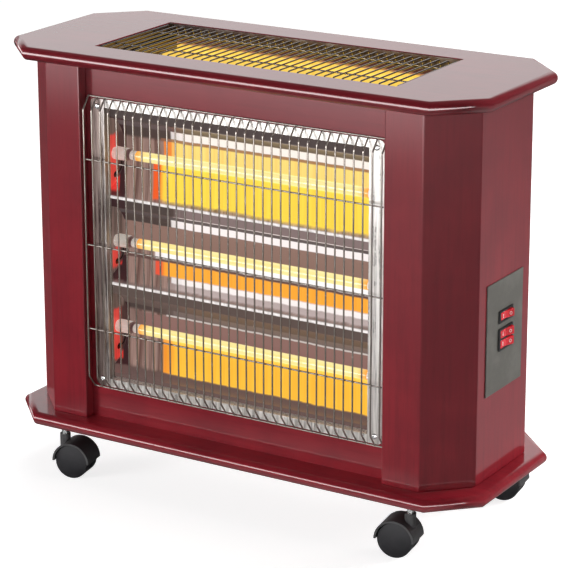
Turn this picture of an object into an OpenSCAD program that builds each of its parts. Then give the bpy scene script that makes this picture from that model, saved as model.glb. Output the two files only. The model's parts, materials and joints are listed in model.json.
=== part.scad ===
// Halogen room heater in a lacquered octagonal cabinet on four twin-wheel casters.
// +X runs to the right seen from the front, +Y to the back, +Z up.
// The origin is on the floor, under the middle of the cabinet.

/* [Cabinet] */
// Width of the top board and the base board
cabinet_w = 640; // [600:10:720]
// Depth of the top board and the base board
cabinet_d = 260; // [255:5:300]
// Height of the columns between the two boards
column_h = 438; // [420:2:480]
// Thickness of the top board and the base board, whose edges are half round
board_t = 16; // [14:1:22]
// Length that each 45 degree corner takes off a board's sides
corner_cut = 51; // [40:1:60]
// How far the boards stand out past the columns
board_overhang = 21; // [16:1:24]
// Thickness of the column boards, which is how far the front panel lies back
column_t = 14; // [12:1:16]
// Width of each front post's face
post_w = 48; // [40:1:56]
// Length that each column corner board takes along X and along Y
corner_run = 47; // [40:1:54]
// Thickness of the front panel
panel_t = 10; // [8:1:12]
// How far the front panel reaches behind each front post
panel_lap = 20; // [12:1:28]
// Thickness of the sheet steel back panel
back_t = 1; // [0.8:0.1:1.5]

/* [Front window] */
// Width of front panel that shows between each post and the frame
panel_side = 7; // [5:1:12]
// Drop from the top board's underside to the window's top edge
window_drop = 52; // [46:1:58]
// Height from the base board to the window's bottom edge
window_rise = 51; // [46:1:58]
// Width of the frame's face beside the window
frame_side = 19; // [16:1:20]
// Height of the frame's face above and below the window
frame_end = 10; // [8:1:12]
// Thickness of the frame's sheet steel
frame_t = 1.2; // [1:0.1:1.6]
// Corner radius of the frame's face
frame_corner = 6; // [4:1:9]

/* [Wire guards] */
// Diameter of the guard wires
wire_d = 2; // [1.8:0.1:2.4]
// Number of parallel wires in each guard
wire_count = 35; // [25:1:41]
// How far the front guard's outer wires lie outside the frame's face
guard_side = 3; // [2:0.5:5]
// How far the front guard's face stands out from the front panel
guard_depth = 12; // [9:0.5:13]
// Height over which a front guard wire slants to its end
guard_slant = 15; // [10:1:20]
// Inside bend radius of a guard wire
wire_bend = 3; // [2:0.5:5]
// Number of cross wires welded behind the front guard
cross_count = 3; // [2:1:5]
// Height between the front guard's rim wires and the cross wires next to them
cross_end = 75; // [60:1:85]
// Gap between two wires where one lies on the other
weld_gap = 0.05; // [0.02:0.01:0.1]
// Distance between the frame's face and the guard's rim wires above and below it
rim_gap = 1.2; // [1:0.1:3]

/* [Reflectors and tubes] */
// Thickness of the polished reflector sheet
sheet_t = 0.8; // [0.6:0.1:1.2]
// Height of the flat ridge between two front troughs
ridge_h = 8; // [6:1:14]
// Depth of a front trough behind its mouth
trough_depth = 48; // [44:1:50]
// Drop from the window's top edge to the upper tube's axis
tube_drop = 64; // [60:1:68]
// Height from the window's bottom edge to the lower tube's axis
tube_rise = 55; // [51:1:59]
// Distance of the front tubes' axes behind the front panel
tube_set_back = 37; // [33:1:40]
// Outer diameter of the quartz tubes
tube_d = 12; // [10:0.5:14]
// Wall thickness of the quartz tubes
tube_wall = 1; // [0.8:0.1:1.4]
// How far the troughs reach past the window's sides
bay_reach = 12; // [8:1:15]
// Length of each ceramic cap's thick base
cap_base = 20; // [16:1:24]
// Diameter of each ceramic cap's base
cap_d = 16; // [15:0.5:18]
// Length of each ceramic cap's thin neck
cap_neck = 12; // [8:1:16]
// Diameter of the beads rolled where two reflector sheets meet
bead_d = 4; // [3:0.2:5]

/* [Heating coils] */
// Number of curls in each coil
coil_curls = 20; // [12:1:22]
// Radius of each coil's centre line
coil_r = 3; // [2.4:0.1:3.6]
// Diameter of the coil wire
coil_wire = 1.2; // [0.8:0.1:1.4]

/* [Top opening] */
// How far the top opening's ends lie inside the posts' inner edges
vent_side = 3; // [1:0.5:6]
// Width of the lip that the opening's liner turns under the top board
liner_lip = 6; // [4:1:8]
// Depth of the top guard's flat wires below the board's top surface, to their axes
vent_sink = 2; // [1.5:0.5:3]
// Depth of the top trough's lips below the board's top surface
top_lip_drop = 30; // [28:1:34]
// Depth of the top trough below its lips
top_trough_depth = 32; // [28:1:36]
// Distance from the opening's front edge to the top trough's front lip
top_trough_inset = 7; // [4:1:10]
// Width of the shelf from the top trough's rear lip to the opening's rear edge
top_shelf = 31; // [25:1:38]
// Height of the top tube's axis above its trough's bottom
top_tube_rise = 22; // [18:1:26]

/* [Switches] */
// Width of the switch plate, front to back
plate_w = 88; // [70:1:96]
// Height of the switch plate
plate_h = 131; // [110:1:150]
// Thickness of the switch plate
plate_t = 1.5; // [1:0.1:2.5]
// Height of the switch plate's centre above the base board
plate_rise = 166; // [140:1:200]
// Height of the single switch's centre above the plate's centre
single_rise = 22; // [20:1:26]
// Height of the double switch's centre above the plate's centre
double_rise = -5; // [-8:1:-4]
// Length of a rocker
rocker_l = 27.2; // [25:0.2:28]
// Width of a rocker
rocker_w = 9; // [8:0.2:9.4]
// Tilt of a rocker on each side of its middle position, in degrees
rocker_tilt = 9; // [7:0.5:10]
// How far a switch's rim stands out from the plate
rim_out = 2; // [1.6:0.1:3]
// Length of a switch's rim, front to back
rim_l = 33; // [32:0.5:36]

/* [Casters] */
// Height from the floor to the base board
caster_h = 64; // [60:1:72]
// Diameter of the caster wheels
wheel_d = 42; // [38:1:44]
// Width of one caster wheel
wheel_w = 14; // [12:0.5:16]
// Radius of the dome on a wheel's outer face
wheel_dome = 80; // [60:2:100]
// Distance from the swivel axis to the axle
caster_trail = 14; // [12:1:18]
// Distance from the boards' ends to the casters' swivel axes
caster_end = 80; // [76:1:100]
// Distance from the boards' long sides to the casters' swivel axes
caster_side = 25; // [24:1:42]
// Diameter of the caster stems
stem_d = 8; // [6:0.5:9]
// Diameter of the axles
axle_d = 4; // [3:0.5:5]
// Thickness of a caster hood's middle web
web_t = 5; // [4:0.5:7]
// Wall thickness of a caster hood
hood_t = 2.4; // [2:0.1:3]
// Swivel angle of each caster as it stands: front left, front right, rear left, rear right
caster_turn = [10, 188, 172, 8];

/* [Back panel] */
// Width of one louvre
louvre_w = 110; // [90:5:120]
// Height of one louvre
louvre_h = 9; // [8:0.5:12]
// How far a louvre stands out
louvre_out = 4; // [3:0.5:6]
// Distance between louvre rows
louvre_pitch = 15; // [14:1:20]
// Distance between louvres side by side
louvre_space = 26; // [18:1:34]
// Number of louvre rows in the upper field
upper_rows = 6; // [3:1:8]
// Number of louvre rows in the lower field
lower_rows = 4; // [2:1:5]
// Inner diameter of the cord gland
gland_bore = 8; // [6:0.5:10]

/* [Hidden] */
$fn = 48;

// Clearance of parts that pass through a hole without touching it
gap = 0.2;
// Radial clearance of a pin or shaft that turns in its bore
running = 0.05;
// Excess by which a cut runs past the faces it opens
over = 1;

lacquer = "#6e2429";
polished = "#c9ccd0";
steel_grey = "#9a9a98";
black_plastic = "#262626";
ceramic = "#e6dfd2";
quartz = "#ffe9a0";
coil_orange = "#ff9a30";
plate_grey = "#5e5d58";
rocker_red = "#c01828";

base_z = caster_h;
column_z = base_z + board_t;
top_z = column_z + column_h;
surface_z = top_z + board_t;
side_x = cabinet_w / 2 - board_overhang;
face_y = cabinet_d / 2 - board_overhang;
post_x = side_x - corner_run - post_w;
corner_x = side_x - corner_run;
corner_y = face_y - corner_run;
mitre = column_t * tan(22.5);
panel_y = -face_y + column_t;
panel_back_y = panel_y + panel_t;
window_w = 2 * (post_x - panel_side - frame_side);
window_h = column_h - window_drop - window_rise;
tube_pitch = (window_h - tube_drop - tube_rise) / 2;
trough_half = (tube_pitch - ridge_h) / 2;
guard_w = window_w + 2 * (frame_side + guard_side);
bay_w = window_w + 2 * bay_reach;
vent_w = 2 * (post_x - vent_side);
vent_d = 2 * (-panel_back_y - liner_lip);
top_trough_w = vent_d - top_trough_inset - top_shelf;
caster_x = cabinet_w / 2 - caster_end;
caster_y = cabinet_d / 2 - caster_side;
window_top = top_z - window_drop;
window_bottom = window_top - window_h;
hole_r = 1.6;
screw_r = 1.5;

/* Shared shapes */

// Profile of a board: a bar with half round ends
module stadium(width, thick) {
    square([width - thick, thick], center = true);
    for (s = [-1, 1]) translate([s * (width - thick) / 2, 0]) circle(d = thick);
}

// Rectangle with rounded corners, centred
module rounded_rect(w, h, r) {
    square([w - 2 * r, h], center = true);
    square([w, h - 2 * r], center = true);
    for (sx = [-1, 1], sy = [-1, 1])
        translate([sx * (w / 2 - r), sy * (h / 2 - r)]) circle(r = r);
}

// Octagonal board with half round edges: four bars crossed, so that their ends mitre at the corners
module octagon_board() {
    diagonal_w = sqrt(2) * (cabinet_w / 2 + cabinet_d / 2 - corner_cut);
    reach = 2 * cabinet_w;
    intersection() {
        rotate([90, 0, 90]) linear_extrude(reach, center = true) stadium(cabinet_d, board_t);
        rotate([90, 0, 0]) linear_extrude(reach, center = true) stadium(cabinet_w, board_t);
        rotate([90, 0, 45]) linear_extrude(reach, center = true) stadium(diagonal_w, board_t);
        rotate([90, 0, -45]) linear_extrude(reach, center = true) stadium(diagonal_w, board_t);
    }
}

// Straight round bar between two points
module bar(a, b, d) {
    v = b - a;
    l = norm(v);
    translate(a) rotate([0, acos(v[2] / l), atan2(v[1], v[0])]) cylinder(h = l, d = d);
}

// Shape extruded along X from its profile in Y and Z
module along_x(length) {
    rotate([90, 0, 90]) linear_extrude(length, center = true) children();
}

// Shape extruded along Y from its outline in X and Z, from y_from towards +Y
module along_y(y_from, length) {
    translate([0, y_from + length, 0]) rotate([90, 0, 0]) linear_extrude(length) children();
}

function unit(v) = v / norm(v);

// Directions of a path at its points
function tangents(p) = [for (i = [0 : len(p) - 1])
    unit(unit(p[min(i + 1, len(p) - 1)] - p[min(i, len(p) - 2)])
        + unit(p[max(i, 1)] - p[max(i - 1, 0)]))];

// Sideways directions carried along a path without twist
function side_vectors(t, start) = [for (i = 0, n = unit(start - (start * t[0]) * t[0]);
    i < len(t);
    i = i + 1, n = i < len(t) ? unit(n - (n * t[i]) * t[i]) : n) n];

// Tube of radius r swept along the points p, with the given number of sides
module swept_tube(p, r, sides, start = [0.31, 0.52, 0.8]) {
    t = tangents(p);
    n = side_vectors(t, start);
    rings = [for (i = [0 : len(p) - 1]) for (k = [0 : sides - 1])
        let (a = 360 * k / sides)
        p[i] + r * (cos(a) * n[i] + sin(a) * cross(t[i], n[i]))];
    last = (len(p) - 1) * sides;
    walls = [for (i = [0 : len(p) - 2]) for (k = [0 : sides - 1])
        let (a = i * sides + k, b = i * sides + (k + 1) % sides)
        each [[a, a + sides, b], [b, a + sides, b + sides]]];
    polyhedron(rings, concat(walls,
        [[for (k = [0 : sides - 1]) k], [for (k = [sides - 1 : -1 : 0]) last + k]]));
}

/* Cabinet */

module top_board() color(lacquer)
    difference() {
        translate([0, 0, top_z + board_t / 2]) octagon_board();
        translate([0, 0, top_z + board_t / 2]) cube([vent_w, vent_d, board_t + 2 * over], center = true);
    }

module base_board() color(lacquer)
    difference() {
        translate([0, 0, base_z + board_t / 2]) octagon_board();
        at_casters() translate([0, 0, base_z - over]) cylinder(h = socket_h + over, d = socket_d);
    }

// Column board from its outline seen from above; side is 1 for the right and -1 for the left
module column_board(side, outline) color(lacquer)
    scale_side(side) translate([0, 0, column_z]) linear_extrude(column_h) polygon(outline);

// Mirrors what follows to the left side
module scale_side(side) {
    if (side > 0) children();
    else mirror([1, 0, 0]) children();
}

post_outline = [[post_x, -face_y], [corner_x, -face_y], [corner_x - mitre, panel_y], [post_x, panel_y]];
front_corner_outline = [[corner_x, -face_y], [side_x, -corner_y],
    [side_x - column_t, -corner_y + mitre], [corner_x - mitre, panel_y]];
side_outline = [[side_x, -corner_y], [side_x, corner_y],
    [side_x - column_t, corner_y - mitre], [side_x - column_t, -corner_y + mitre]];
back_seat_y = face_y - back_t;
rear_corner_outline = [[side_x, corner_y], [corner_x + back_t, back_seat_y],
    [corner_x + back_t - sqrt(2) * column_t, back_seat_y], [side_x - column_t, corner_y - mitre]];

module left_front_post() column_board(-1, post_outline);
module left_front_corner() column_board(-1, front_corner_outline);
module left_side_board() column_board(-1, side_outline);
module left_rear_corner() column_board(-1, rear_corner_outline);
module right_front_post() column_board(1, post_outline);
module right_front_corner() column_board(1, front_corner_outline);
module right_rear_corner() column_board(1, rear_corner_outline);

module right_side_board() color(lacquer)
    difference() {
        column_board(1, side_outline);
        translate([side_x - column_t - over, -switch_hole_w / 2, switch_hole_bottom])
            cube([column_t + 2 * over, switch_hole_w, switch_hole_top - switch_hole_bottom]);
    }

module front_panel() color(lacquer)
    difference() {
        translate([-post_x - panel_lap, panel_y, column_z])
            cube([2 * (post_x + panel_lap), panel_t, column_h]);
        hole_w = window_w + 2 * frame_t + 2 * gap;
        translate([-hole_w / 2, panel_y - over, window_bottom - frame_t - gap])
            cube([hole_w, panel_t + 2 * over, window_h + 2 * frame_t + 2 * gap]);
        at_frame_screws() rotate([-90, 0, 0]) translate([0, 0, -over]) cylinder(h = panel_t + 2 * over, r = hole_r);
        for (s = [-1, 1], z = guard_peg_z) translate([s * guard_peg_x, panel_y - over, z])
            rotate([-90, 0, 0]) cylinder(h = panel_t + 2 * over, d = wire_d + 2 * gap);
    }

/* Back panel */

upper_louvre_z = column_z + column_h - 40 - upper_rows * louvre_pitch;
lower_louvre_z = column_z + 70;
louvre_columns = [-1, 0, 1];
louvre_step = louvre_w + louvre_space;

module louvre_rows() {
    for (i = louvre_columns) {
        for (k = [0 : upper_rows - 1])
            translate([i * louvre_step, face_y, upper_louvre_z + k * louvre_pitch]) children();
        for (k = [0 : lower_rows - 1])
            translate([i * louvre_step, face_y, lower_louvre_z + k * louvre_pitch]) children();
    }
}

module back_panel() color(steel_grey)
    difference() {
        union() {
            translate([-corner_x, back_seat_y, column_z]) cube([2 * corner_x, back_t, column_h]);
            louvre_rows() along_x(louvre_w) polygon([[-back_t / 2, 0], [louvre_out, 0], [0, louvre_h],
                [-back_t / 2, louvre_h]]);
        }
        louvre_rows() along_x(louvre_w - 2 * back_t)
            polygon([[-2 * back_t, -over], [louvre_out - 1.2 * back_t, -over],
                [louvre_out - 1.2 * back_t, 0], [-1.2 * back_t, louvre_h], [-2 * back_t, louvre_h]]);
        translate([gland_x, back_seat_y - over, gland_z]) rotate([-90, 0, 0])
            cylinder(h = back_t + 2 * over, d = gland_body_d);
        at_back_screws() rotate([-90, 0, 0]) translate([0, 0, -over]) cylinder(h = 3 * over, r = hole_r);
    }

gland_x = corner_x - 62;
gland_z = column_z + 34;
gland_body_d = 16;
gland_flange_d = 24;
gland_flange_t = 3;
gland_inside = 14;

module cord_gland() color(black_plastic)
    translate([gland_x, 0, gland_z]) rotate([-90, 0, 0])
        difference() {
            union() {
                translate([0, 0, face_y]) cylinder(h = gland_flange_t, d = gland_flange_d);
                translate([0, 0, back_seat_y - gland_inside])
                    cylinder(h = gland_inside + back_t + gland_flange_t, d = gland_body_d);
                translate([0, 0, back_seat_y - 5]) cylinder(h = 5, d = gland_flange_d, $fn = 6);
            }
            translate([0, 0, back_seat_y - gland_inside - over])
                cylinder(h = gland_inside + back_t + gland_flange_t + 2 * over, d = gland_bore);
        }

/* Front frame and guard */

flange_top = window_top + frame_end;
flange_bottom = window_bottom - frame_end;
window_mid = (window_top + window_bottom) / 2;
frame_screw_x = window_w / 2 + frame_side / 2;
frame_screw_z = [window_top + 1, window_bottom - 1];

module at_frame_screws() {
    for (s = [-1, 1], z = frame_screw_z) translate([s * frame_screw_x, panel_y, z]) children();
}

module front_frame() color(polished)
    difference() {
        union() {
            along_y(panel_y - frame_t, frame_t) translate([0, window_mid])
                rounded_rect(window_w + 2 * frame_side, window_h + 2 * frame_end, frame_corner);
            along_y(panel_y - frame_t / 2, panel_t + frame_t / 2) translate([0, window_mid])
                square([window_w + 2 * frame_t, window_h + 2 * frame_t], center = true);
        }
        along_y(panel_y - frame_t - over, panel_t + frame_t + 2 * over) translate([0, window_mid])
            square([window_w, window_h], center = true);
        at_frame_screws() rotate([-90, 0, 0]) translate([0, 0, -frame_t - over])
            cylinder(h = frame_t + 2 * over, r = hole_r);
    }

guard_end_y = panel_y - wire_d / 2;
guard_face_y = panel_y - guard_depth;
guard_top = flange_top + rim_gap + wire_d / 2;
guard_bottom = flange_bottom - rim_gap - wire_d / 2;
wire_pitch = guard_w / (wire_count - 1);
cross_y = guard_face_y + wire_d + weld_gap;
cross_pitch = (guard_top - guard_bottom - 2 * cross_end) / (cross_count - 1);
guard_peg_x = guard_w / 2;
guard_peg_z = [guard_top, guard_bottom];

// Points of a path in Y and Z whose corners are rounded, with the given number of steps a corner
function rounded_path(p, r, steps) = concat([p[0]],
    [for (i = [1 : len(p) - 2])
        let (u = unit(p[i - 1] - p[i]), v = unit(p[i + 1] - p[i]), half = acos(u * v) / 2,
            centre = p[i] + unit(u + v) * r / sin(half), from = p[i] + u * r / tan(half) - centre,
            to = p[i] + v * r / tan(half) - centre, turn = 180 - 2 * half)
        for (k = [0 : steps]) centre + (sin(turn * (1 - k / steps)) * from + sin(turn * k / steps) * to) / sin(turn)],
    [p[len(p) - 1]]);

// Guard wire at x that follows points in Y and Z
module bent_wire(x, points) {
    path = rounded_path(points, wire_bend + wire_d / 2, 2);
    swept_tube([for (q = path) [x, q[0], q[1]]], wire_d / 2, 6, [1, 0, 0]);
}

// Point beside a rim wire's centre where a guard wire that comes from the other point ends
function rim_end(rim, other) = rim + unit(other - rim) * (wire_d / 2 + weld_gap);

module front_guard() color(polished) {
    corners = [[guard_face_y, guard_top - guard_slant], [guard_face_y, guard_bottom + guard_slant]];
    points = concat([rim_end([guard_end_y, guard_top], corners[0])], corners,
        [rim_end([guard_end_y, guard_bottom], corners[1])]);
    for (i = [0 : wire_count - 1]) bent_wire(-guard_w / 2 + i * wire_pitch, points);
    for (z = [guard_top, guard_bottom])
        bar([-guard_w / 2 - wire_d / 2, guard_end_y, z], [guard_w / 2 + wire_d / 2, guard_end_y, z], wire_d);
    for (i = [1 : cross_count])
        let (z = guard_bottom + cross_end + cross_pitch * (i - 1))
        bar([-guard_w / 2 - wire_d / 2, cross_y, z], [guard_w / 2 + wire_d / 2, cross_y, z], wire_d);
    for (s = [-1, 1], z = guard_peg_z)
        bar([s * guard_peg_x, panel_y, z], [s * guard_peg_x, panel_back_y + 3, z], wire_d);
}

/* Front reflectors, end plates and tubes */

tube_y = panel_y + tube_set_back;
mouth_y = panel_back_y;
trough_r = (pow(trough_half, 2) + pow(trough_depth, 2)) / (2 * trough_depth);
trough_axis_y = mouth_y + trough_depth - trough_r;
function tube_z(i) = window_top - tube_drop - i * tube_pitch;
reflector_lap = 8;
reflector_top = window_top + reflector_lap;
reflector_bottom = window_bottom - reflector_lap;

// Sheet with one round trough centred on z_mid, from z_low to z_high, which meets its neighbours at the heights
// in joints and carries half of the bead there
module reflector(z_mid, z_low, z_high, joints) color(polished) {
    along_x(window_w - 2 * gap)
        for (z = joints) translate([mouth_y, z])
            intersection() {
                circle(d = bead_d);
                translate([-bead_d, z > z_mid ? -bead_d : 0]) square([bead_d + sheet_t / 2, bead_d]);
            }
    along_x(bay_w) {
        difference() {
            translate([trough_axis_y, z_mid]) circle(r = trough_r + sheet_t, $fn = 96);
            translate([trough_axis_y, z_mid]) circle(r = trough_r, $fn = 96);
            translate([mouth_y - 2 * trough_r, z_mid - 2 * trough_r]) square([2 * trough_r, 4 * trough_r]);
        }
        lip_z = sqrt(pow(trough_r, 2) - pow(mouth_y - trough_axis_y, 2));
        translate([mouth_y, z_mid + lip_z]) square([sheet_t, z_high - z_mid - lip_z]);
        translate([mouth_y, z_low]) square([sheet_t, z_mid - lip_z - z_low]);
    }
}

joint_z = [tube_z(0) - tube_pitch / 2, tube_z(1) - tube_pitch / 2];

module upper_reflector() reflector(tube_z(0), joint_z[0], reflector_top, [joint_z[0]]);
module middle_reflector() reflector(tube_z(1), joint_z[1], joint_z[0], joint_z);
module lower_reflector() reflector(tube_z(2), reflector_bottom, joint_z[1], [joint_z[1]]);

end_plate_t = 1;
end_plate_depth = trough_depth + 6;
end_plate_lip = 14;
lead_hole_d = 8;
lead_drop = 27;
spigot_d = 6;
spigot_out = 3;
end_screw_z = [reflector_top - 3, joint_z[0], joint_z[1], reflector_bottom + 3];
end_screw_x = bay_w / 2 + end_plate_t + end_plate_lip / 2;

// Plate across the ends of the three troughs, with a lip that is screwed behind the front panel
module end_plate(side) color(polished) scale_side(side)
    difference() {
        union() {
            translate([bay_w / 2, mouth_y, reflector_bottom])
                cube([end_plate_t, end_plate_depth, reflector_top - reflector_bottom]);
            translate([bay_w / 2, mouth_y, reflector_bottom])
                cube([end_plate_t + end_plate_lip, end_plate_t, reflector_top - reflector_bottom]);
        }
        for (i = [0 : 2]) {
            translate([bay_w / 2 - over, tube_y, tube_z(i)]) rotate([0, 90, 0])
                cylinder(h = end_plate_t + 2 * over, d = spigot_d + 2 * gap);
            translate([bay_w / 2 - over, tube_y, tube_z(i) - lead_drop]) rotate([0, 90, 0])
                cylinder(h = end_plate_t + 2 * over, d = lead_hole_d);
        }
        for (z = end_screw_z) translate([end_screw_x, mouth_y - over, z]) rotate([-90, 0, 0])
            cylinder(h = end_plate_t + 2 * over, r = hole_r);
    }

module left_end_plate() end_plate(-1);
module right_end_plate() end_plate(1);

neck_d = tube_d - tube_wall;
tube_l = bay_w - 2 * (cap_base + cap_neck);
plug_l = 4;
plug_d = tube_d - 2 * tube_wall - 2 * gap;
top_tube_y = -vent_d / 2 + top_trough_inset + top_trough_w / 2;
top_tube_z = surface_z - top_lip_drop - top_trough_depth + top_tube_rise;
tube_places = [[tube_y, tube_z(0)], [tube_y, tube_z(1)], [tube_y, tube_z(2)], [top_tube_y, top_tube_z]];
cap_flat = 0.44 * cap_d;
function cap_seat_x(k) = k < 3 ? bay_w / 2 : top_bay_w / 2;

module quartz_tube(place) color(quartz)
    translate([-tube_l / 2, place[0], place[1]]) rotate([0, 90, 0])
        difference() {
            cylinder(h = tube_l, d = tube_d);
            translate([0, 0, -over]) cylinder(h = tube_l + 2 * over, d = tube_d - 2 * tube_wall);
        }

module upper_tube() quartz_tube(tube_places[0]);
module middle_tube() quartz_tube(tube_places[1]);
module lower_tube() quartz_tube(tube_places[2]);
module top_tube() quartz_tube(tube_places[3]);

// Caps: a thick base against the end plate, a thin neck against the tube, a plug inside the tube
module ceramic_caps() color(ceramic)
    for (k = [0 : len(tube_places) - 1], side = [-1, 1]) scale_side(side)
        translate([cap_seat_x(k), tube_places[k][0], tube_places[k][1]]) rotate([0, -90, 0]) {
            base = cap_seat_x(k) - tube_l / 2 - cap_neck;
            translate([0, 0, -end_plate_t - spigot_out]) cylinder(h = end_plate_t + spigot_out + over, d = spigot_d);
            intersection() {
                cylinder(h = base, d = cap_d);
                translate([-cap_flat, -cap_d, 0]) cube([2 * cap_flat, 2 * cap_d, base]);
            }
            cylinder(h = base + cap_neck, d = neck_d);
            cylinder(h = base + cap_neck + plug_l, d = plug_d);
        }

rings_per_curl = 8;
coil_end_x = tube_l / 2 - plug_l;
coil_straight = 2 * coil_wire;
coil_half = coil_end_x - coil_straight;
coil_steps = coil_curls * rings_per_curl;
coil_curve = [for (k = [0 : coil_steps]) let (a = 360 * k / rings_per_curl)
    [-coil_half + 2 * coil_half * k / coil_steps, coil_r * sin(a), coil_r * cos(a)]];
coil_points = concat([[-coil_end_x, 0, coil_r], [-coil_half - coil_wire, 0, coil_r]], coil_curve,
    [[coil_half + coil_wire, 0, coil_r], [coil_end_x, 0, coil_r]]);
coil_gap = min([for (k = [rings_per_curl / 2 : 2 * rings_per_curl])
    norm(coil_curve[k] - coil_curve[0])]) - coil_wire;
echo(least_gap_of_coil_to_itself = coil_gap);

module heating_coils() color(coil_orange)
    for (place = tube_places) translate([0, place[0], place[1]])
        swept_tube(coil_points, coil_wire / 2, 6, [0, 0, 1]);

/* Top opening */

liner_t = 1;
liner_top = surface_z - 1;
ledge_z = surface_z - board_t + 1;
ledge_w = 7;

module top_frame() color(polished) {
    difference() {
        translate([-vent_w / 2, -vent_d / 2, top_z]) cube([vent_w, vent_d, liner_top - top_z]);
        translate([-vent_w / 2 + liner_t, -vent_d / 2 + liner_t, top_z - over])
            cube([vent_w - 2 * liner_t, vent_d - 2 * liner_t, board_t + 2 * over]);
    }
    difference() {
        translate([-vent_w / 2, -vent_d / 2, ledge_z - liner_t]) cube([vent_w, vent_d, liner_t]);
        translate([-vent_w / 2 + ledge_w, -vent_d / 2 + ledge_w, ledge_z - liner_t - over])
            cube([vent_w - 2 * ledge_w, vent_d - 2 * ledge_w, liner_t + 2 * over]);
    }
    difference() {
        translate([-vent_w / 2 - liner_lip, -vent_d / 2 - liner_lip, top_z - liner_t])
            cube([vent_w + 2 * liner_lip, vent_d + 2 * liner_lip, liner_t]);
        translate([-vent_w / 2 + liner_t, -vent_d / 2 + liner_t, top_z - liner_t - over])
            cube([vent_w - 2 * liner_t, vent_d - 2 * liner_t, liner_t + 2 * over]);
    }
}

top_wire_z = surface_z - vent_sink;
top_rim_z = ledge_z + wire_d / 2;
top_rim_y = vent_d / 2 - liner_t - wire_d;
top_bend_y = top_rim_y - 6;
top_cross = [-0.25, 0.25];
top_guard_w = vent_w - 2 * liner_t - wire_d;
top_pitch = (guard_w - 2 * liner_t - wire_d) / (wire_count - 1);
top_cross_z = top_wire_z - wire_d - weld_gap;

module top_guard() color(polished) {
    corners = [[-top_bend_y, top_wire_z], [top_bend_y, top_wire_z]];
    points = concat([rim_end([-top_rim_y, top_rim_z], corners[0])], corners,
        [rim_end([top_rim_y, top_rim_z], corners[1])]);
    for (i = [0 : wire_count - 1]) bent_wire((i - (wire_count - 1) / 2) * top_pitch, points);
    for (s = [-1, 1])
        bar([-top_guard_w / 2, s * top_rim_y, top_rim_z], [top_guard_w / 2, s * top_rim_y, top_rim_z], wire_d);
    for (k = top_cross) let (y = k * vent_d)
        bar([-top_guard_w / 2, y, top_cross_z], [top_guard_w / 2, y, top_cross_z], wire_d);
}

top_bay_w = bay_w + 2 * (end_plate_t + gap);
tray_top = top_z - liner_t;
tray_half = vent_d / 2;
lip_z = surface_z - top_lip_drop;
top_front_lip = -vent_d / 2 + top_trough_inset;
top_rear_lip = top_front_lip + top_trough_w;
top_trough_r = (pow(top_trough_w / 2, 2) + pow(top_trough_depth, 2)) / (2 * top_trough_depth);
top_trough_axis = [(top_front_lip + top_rear_lip) / 2, lip_z - top_trough_depth + top_trough_r];

// Tray below the opening: a wall and a shelf at the front and back, and a round trough between
module top_reflector() color(polished)
    along_x(top_bay_w) {
        difference() {
            translate(top_trough_axis) circle(r = top_trough_r + sheet_t, $fn = 96);
            translate(top_trough_axis) circle(r = top_trough_r, $fn = 96);
            translate([-2 * top_trough_r, lip_z]) square([4 * top_trough_r, 3 * top_trough_r]);
        }
        translate([-tray_half, lip_z - sheet_t]) square([top_front_lip + tray_half, sheet_t]);
        translate([top_rear_lip, lip_z - sheet_t]) square([tray_half - top_rear_lip, sheet_t]);
        for (s = [-1, 1]) {
            translate([s * (tray_half - sheet_t / 2), (lip_z - sheet_t + tray_top) / 2])
                square([sheet_t, tray_top - lip_z + sheet_t], center = true);
            translate([s * (tray_half + liner_lip / 2 - sheet_t / 2), tray_top - sheet_t / 2])
                square([liner_lip + sheet_t, sheet_t], center = true);
        }
    }

// Plates across the tray's ends, just outside the front end plates, each with a lip under the liner's
module top_end_plates() color(polished)
    for (side = [-1, 1]) scale_side(side)
        difference() {
            union() {
                translate([top_bay_w / 2, -tray_half, lip_z - top_trough_depth - 4])
                    cube([end_plate_t, vent_d, tray_top - lip_z + top_trough_depth + 4]);
                translate([top_bay_w / 2, -tray_half - liner_lip, tray_top - end_plate_t])
                    cube([vent_w / 2 - top_bay_w / 2 + liner_lip, vent_d + 2 * liner_lip, end_plate_t]);
            }
            translate([top_bay_w / 2 - over, top_tube_y, top_tube_z]) rotate([0, 90, 0])
                cylinder(h = end_plate_t + 2 * over, d = spigot_d + 2 * gap);
        }

/* Switches */

plate_z = column_z + plate_rise;
plate_x = side_x + plate_t;
single_z = plate_z + single_rise;
double_z = plate_z + double_rise;
well_gap = 0.3;
well_l = rocker_l + 2 * well_gap;
well_w = rocker_w + 2 * well_gap;
well_wall = 2.2;
pivot_in = 0.5;
pivot_x = plate_x - pivot_in;
case_l = well_l + 2;
case_depth = 18;
single_case_w = well_w + 2 * 1.4;
double_case_w = 2 * well_w + well_wall + 2 * 1.4;
rim_extra = 1;
rocker_step = (well_w + well_wall) / 2;
pin_r = 1;
pin_l = 1;
switch_hole_w = case_l + 4;
switch_hole_top = single_z + single_case_w / 2 + 2;
switch_hole_bottom = double_z - double_case_w / 2 - 2;

module switch_plate() color(plate_grey)
    difference() {
        translate([side_x, -plate_w / 2, plate_z - plate_h / 2]) cube([plate_t, plate_w, plate_h]);
        for (c = [[single_z, single_case_w], [double_z, double_case_w]])
            translate([side_x - over, -case_l / 2 - gap, c[0] - c[1] / 2 - gap])
                cube([plate_t + 2 * over, case_l + 2 * gap, c[1] + 2 * gap]);
    }

// Switch body with a rim over the plate and one well for each rocker centre in wells
module switch_case(z, width, wells) color(black_plastic)
    difference() {
        union() {
            translate([plate_x - case_depth, -case_l / 2, z - width / 2]) cube([case_depth + over, case_l, width]);
            translate([plate_x + rim_out / 2, 0, z])
                cube([rim_out, rim_l, width + 2 * rim_extra], center = true);
        }
        for (w = wells) {
            translate([pivot_x - 8, -well_l / 2, w - well_w / 2]) cube([8 + rim_out + over, well_l, well_w]);
            translate([pivot_x, 0, w]) cylinder(h = well_w + 2 * (pin_l + 0.1), r = pin_r + running, center = true);
        }
    }

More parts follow.
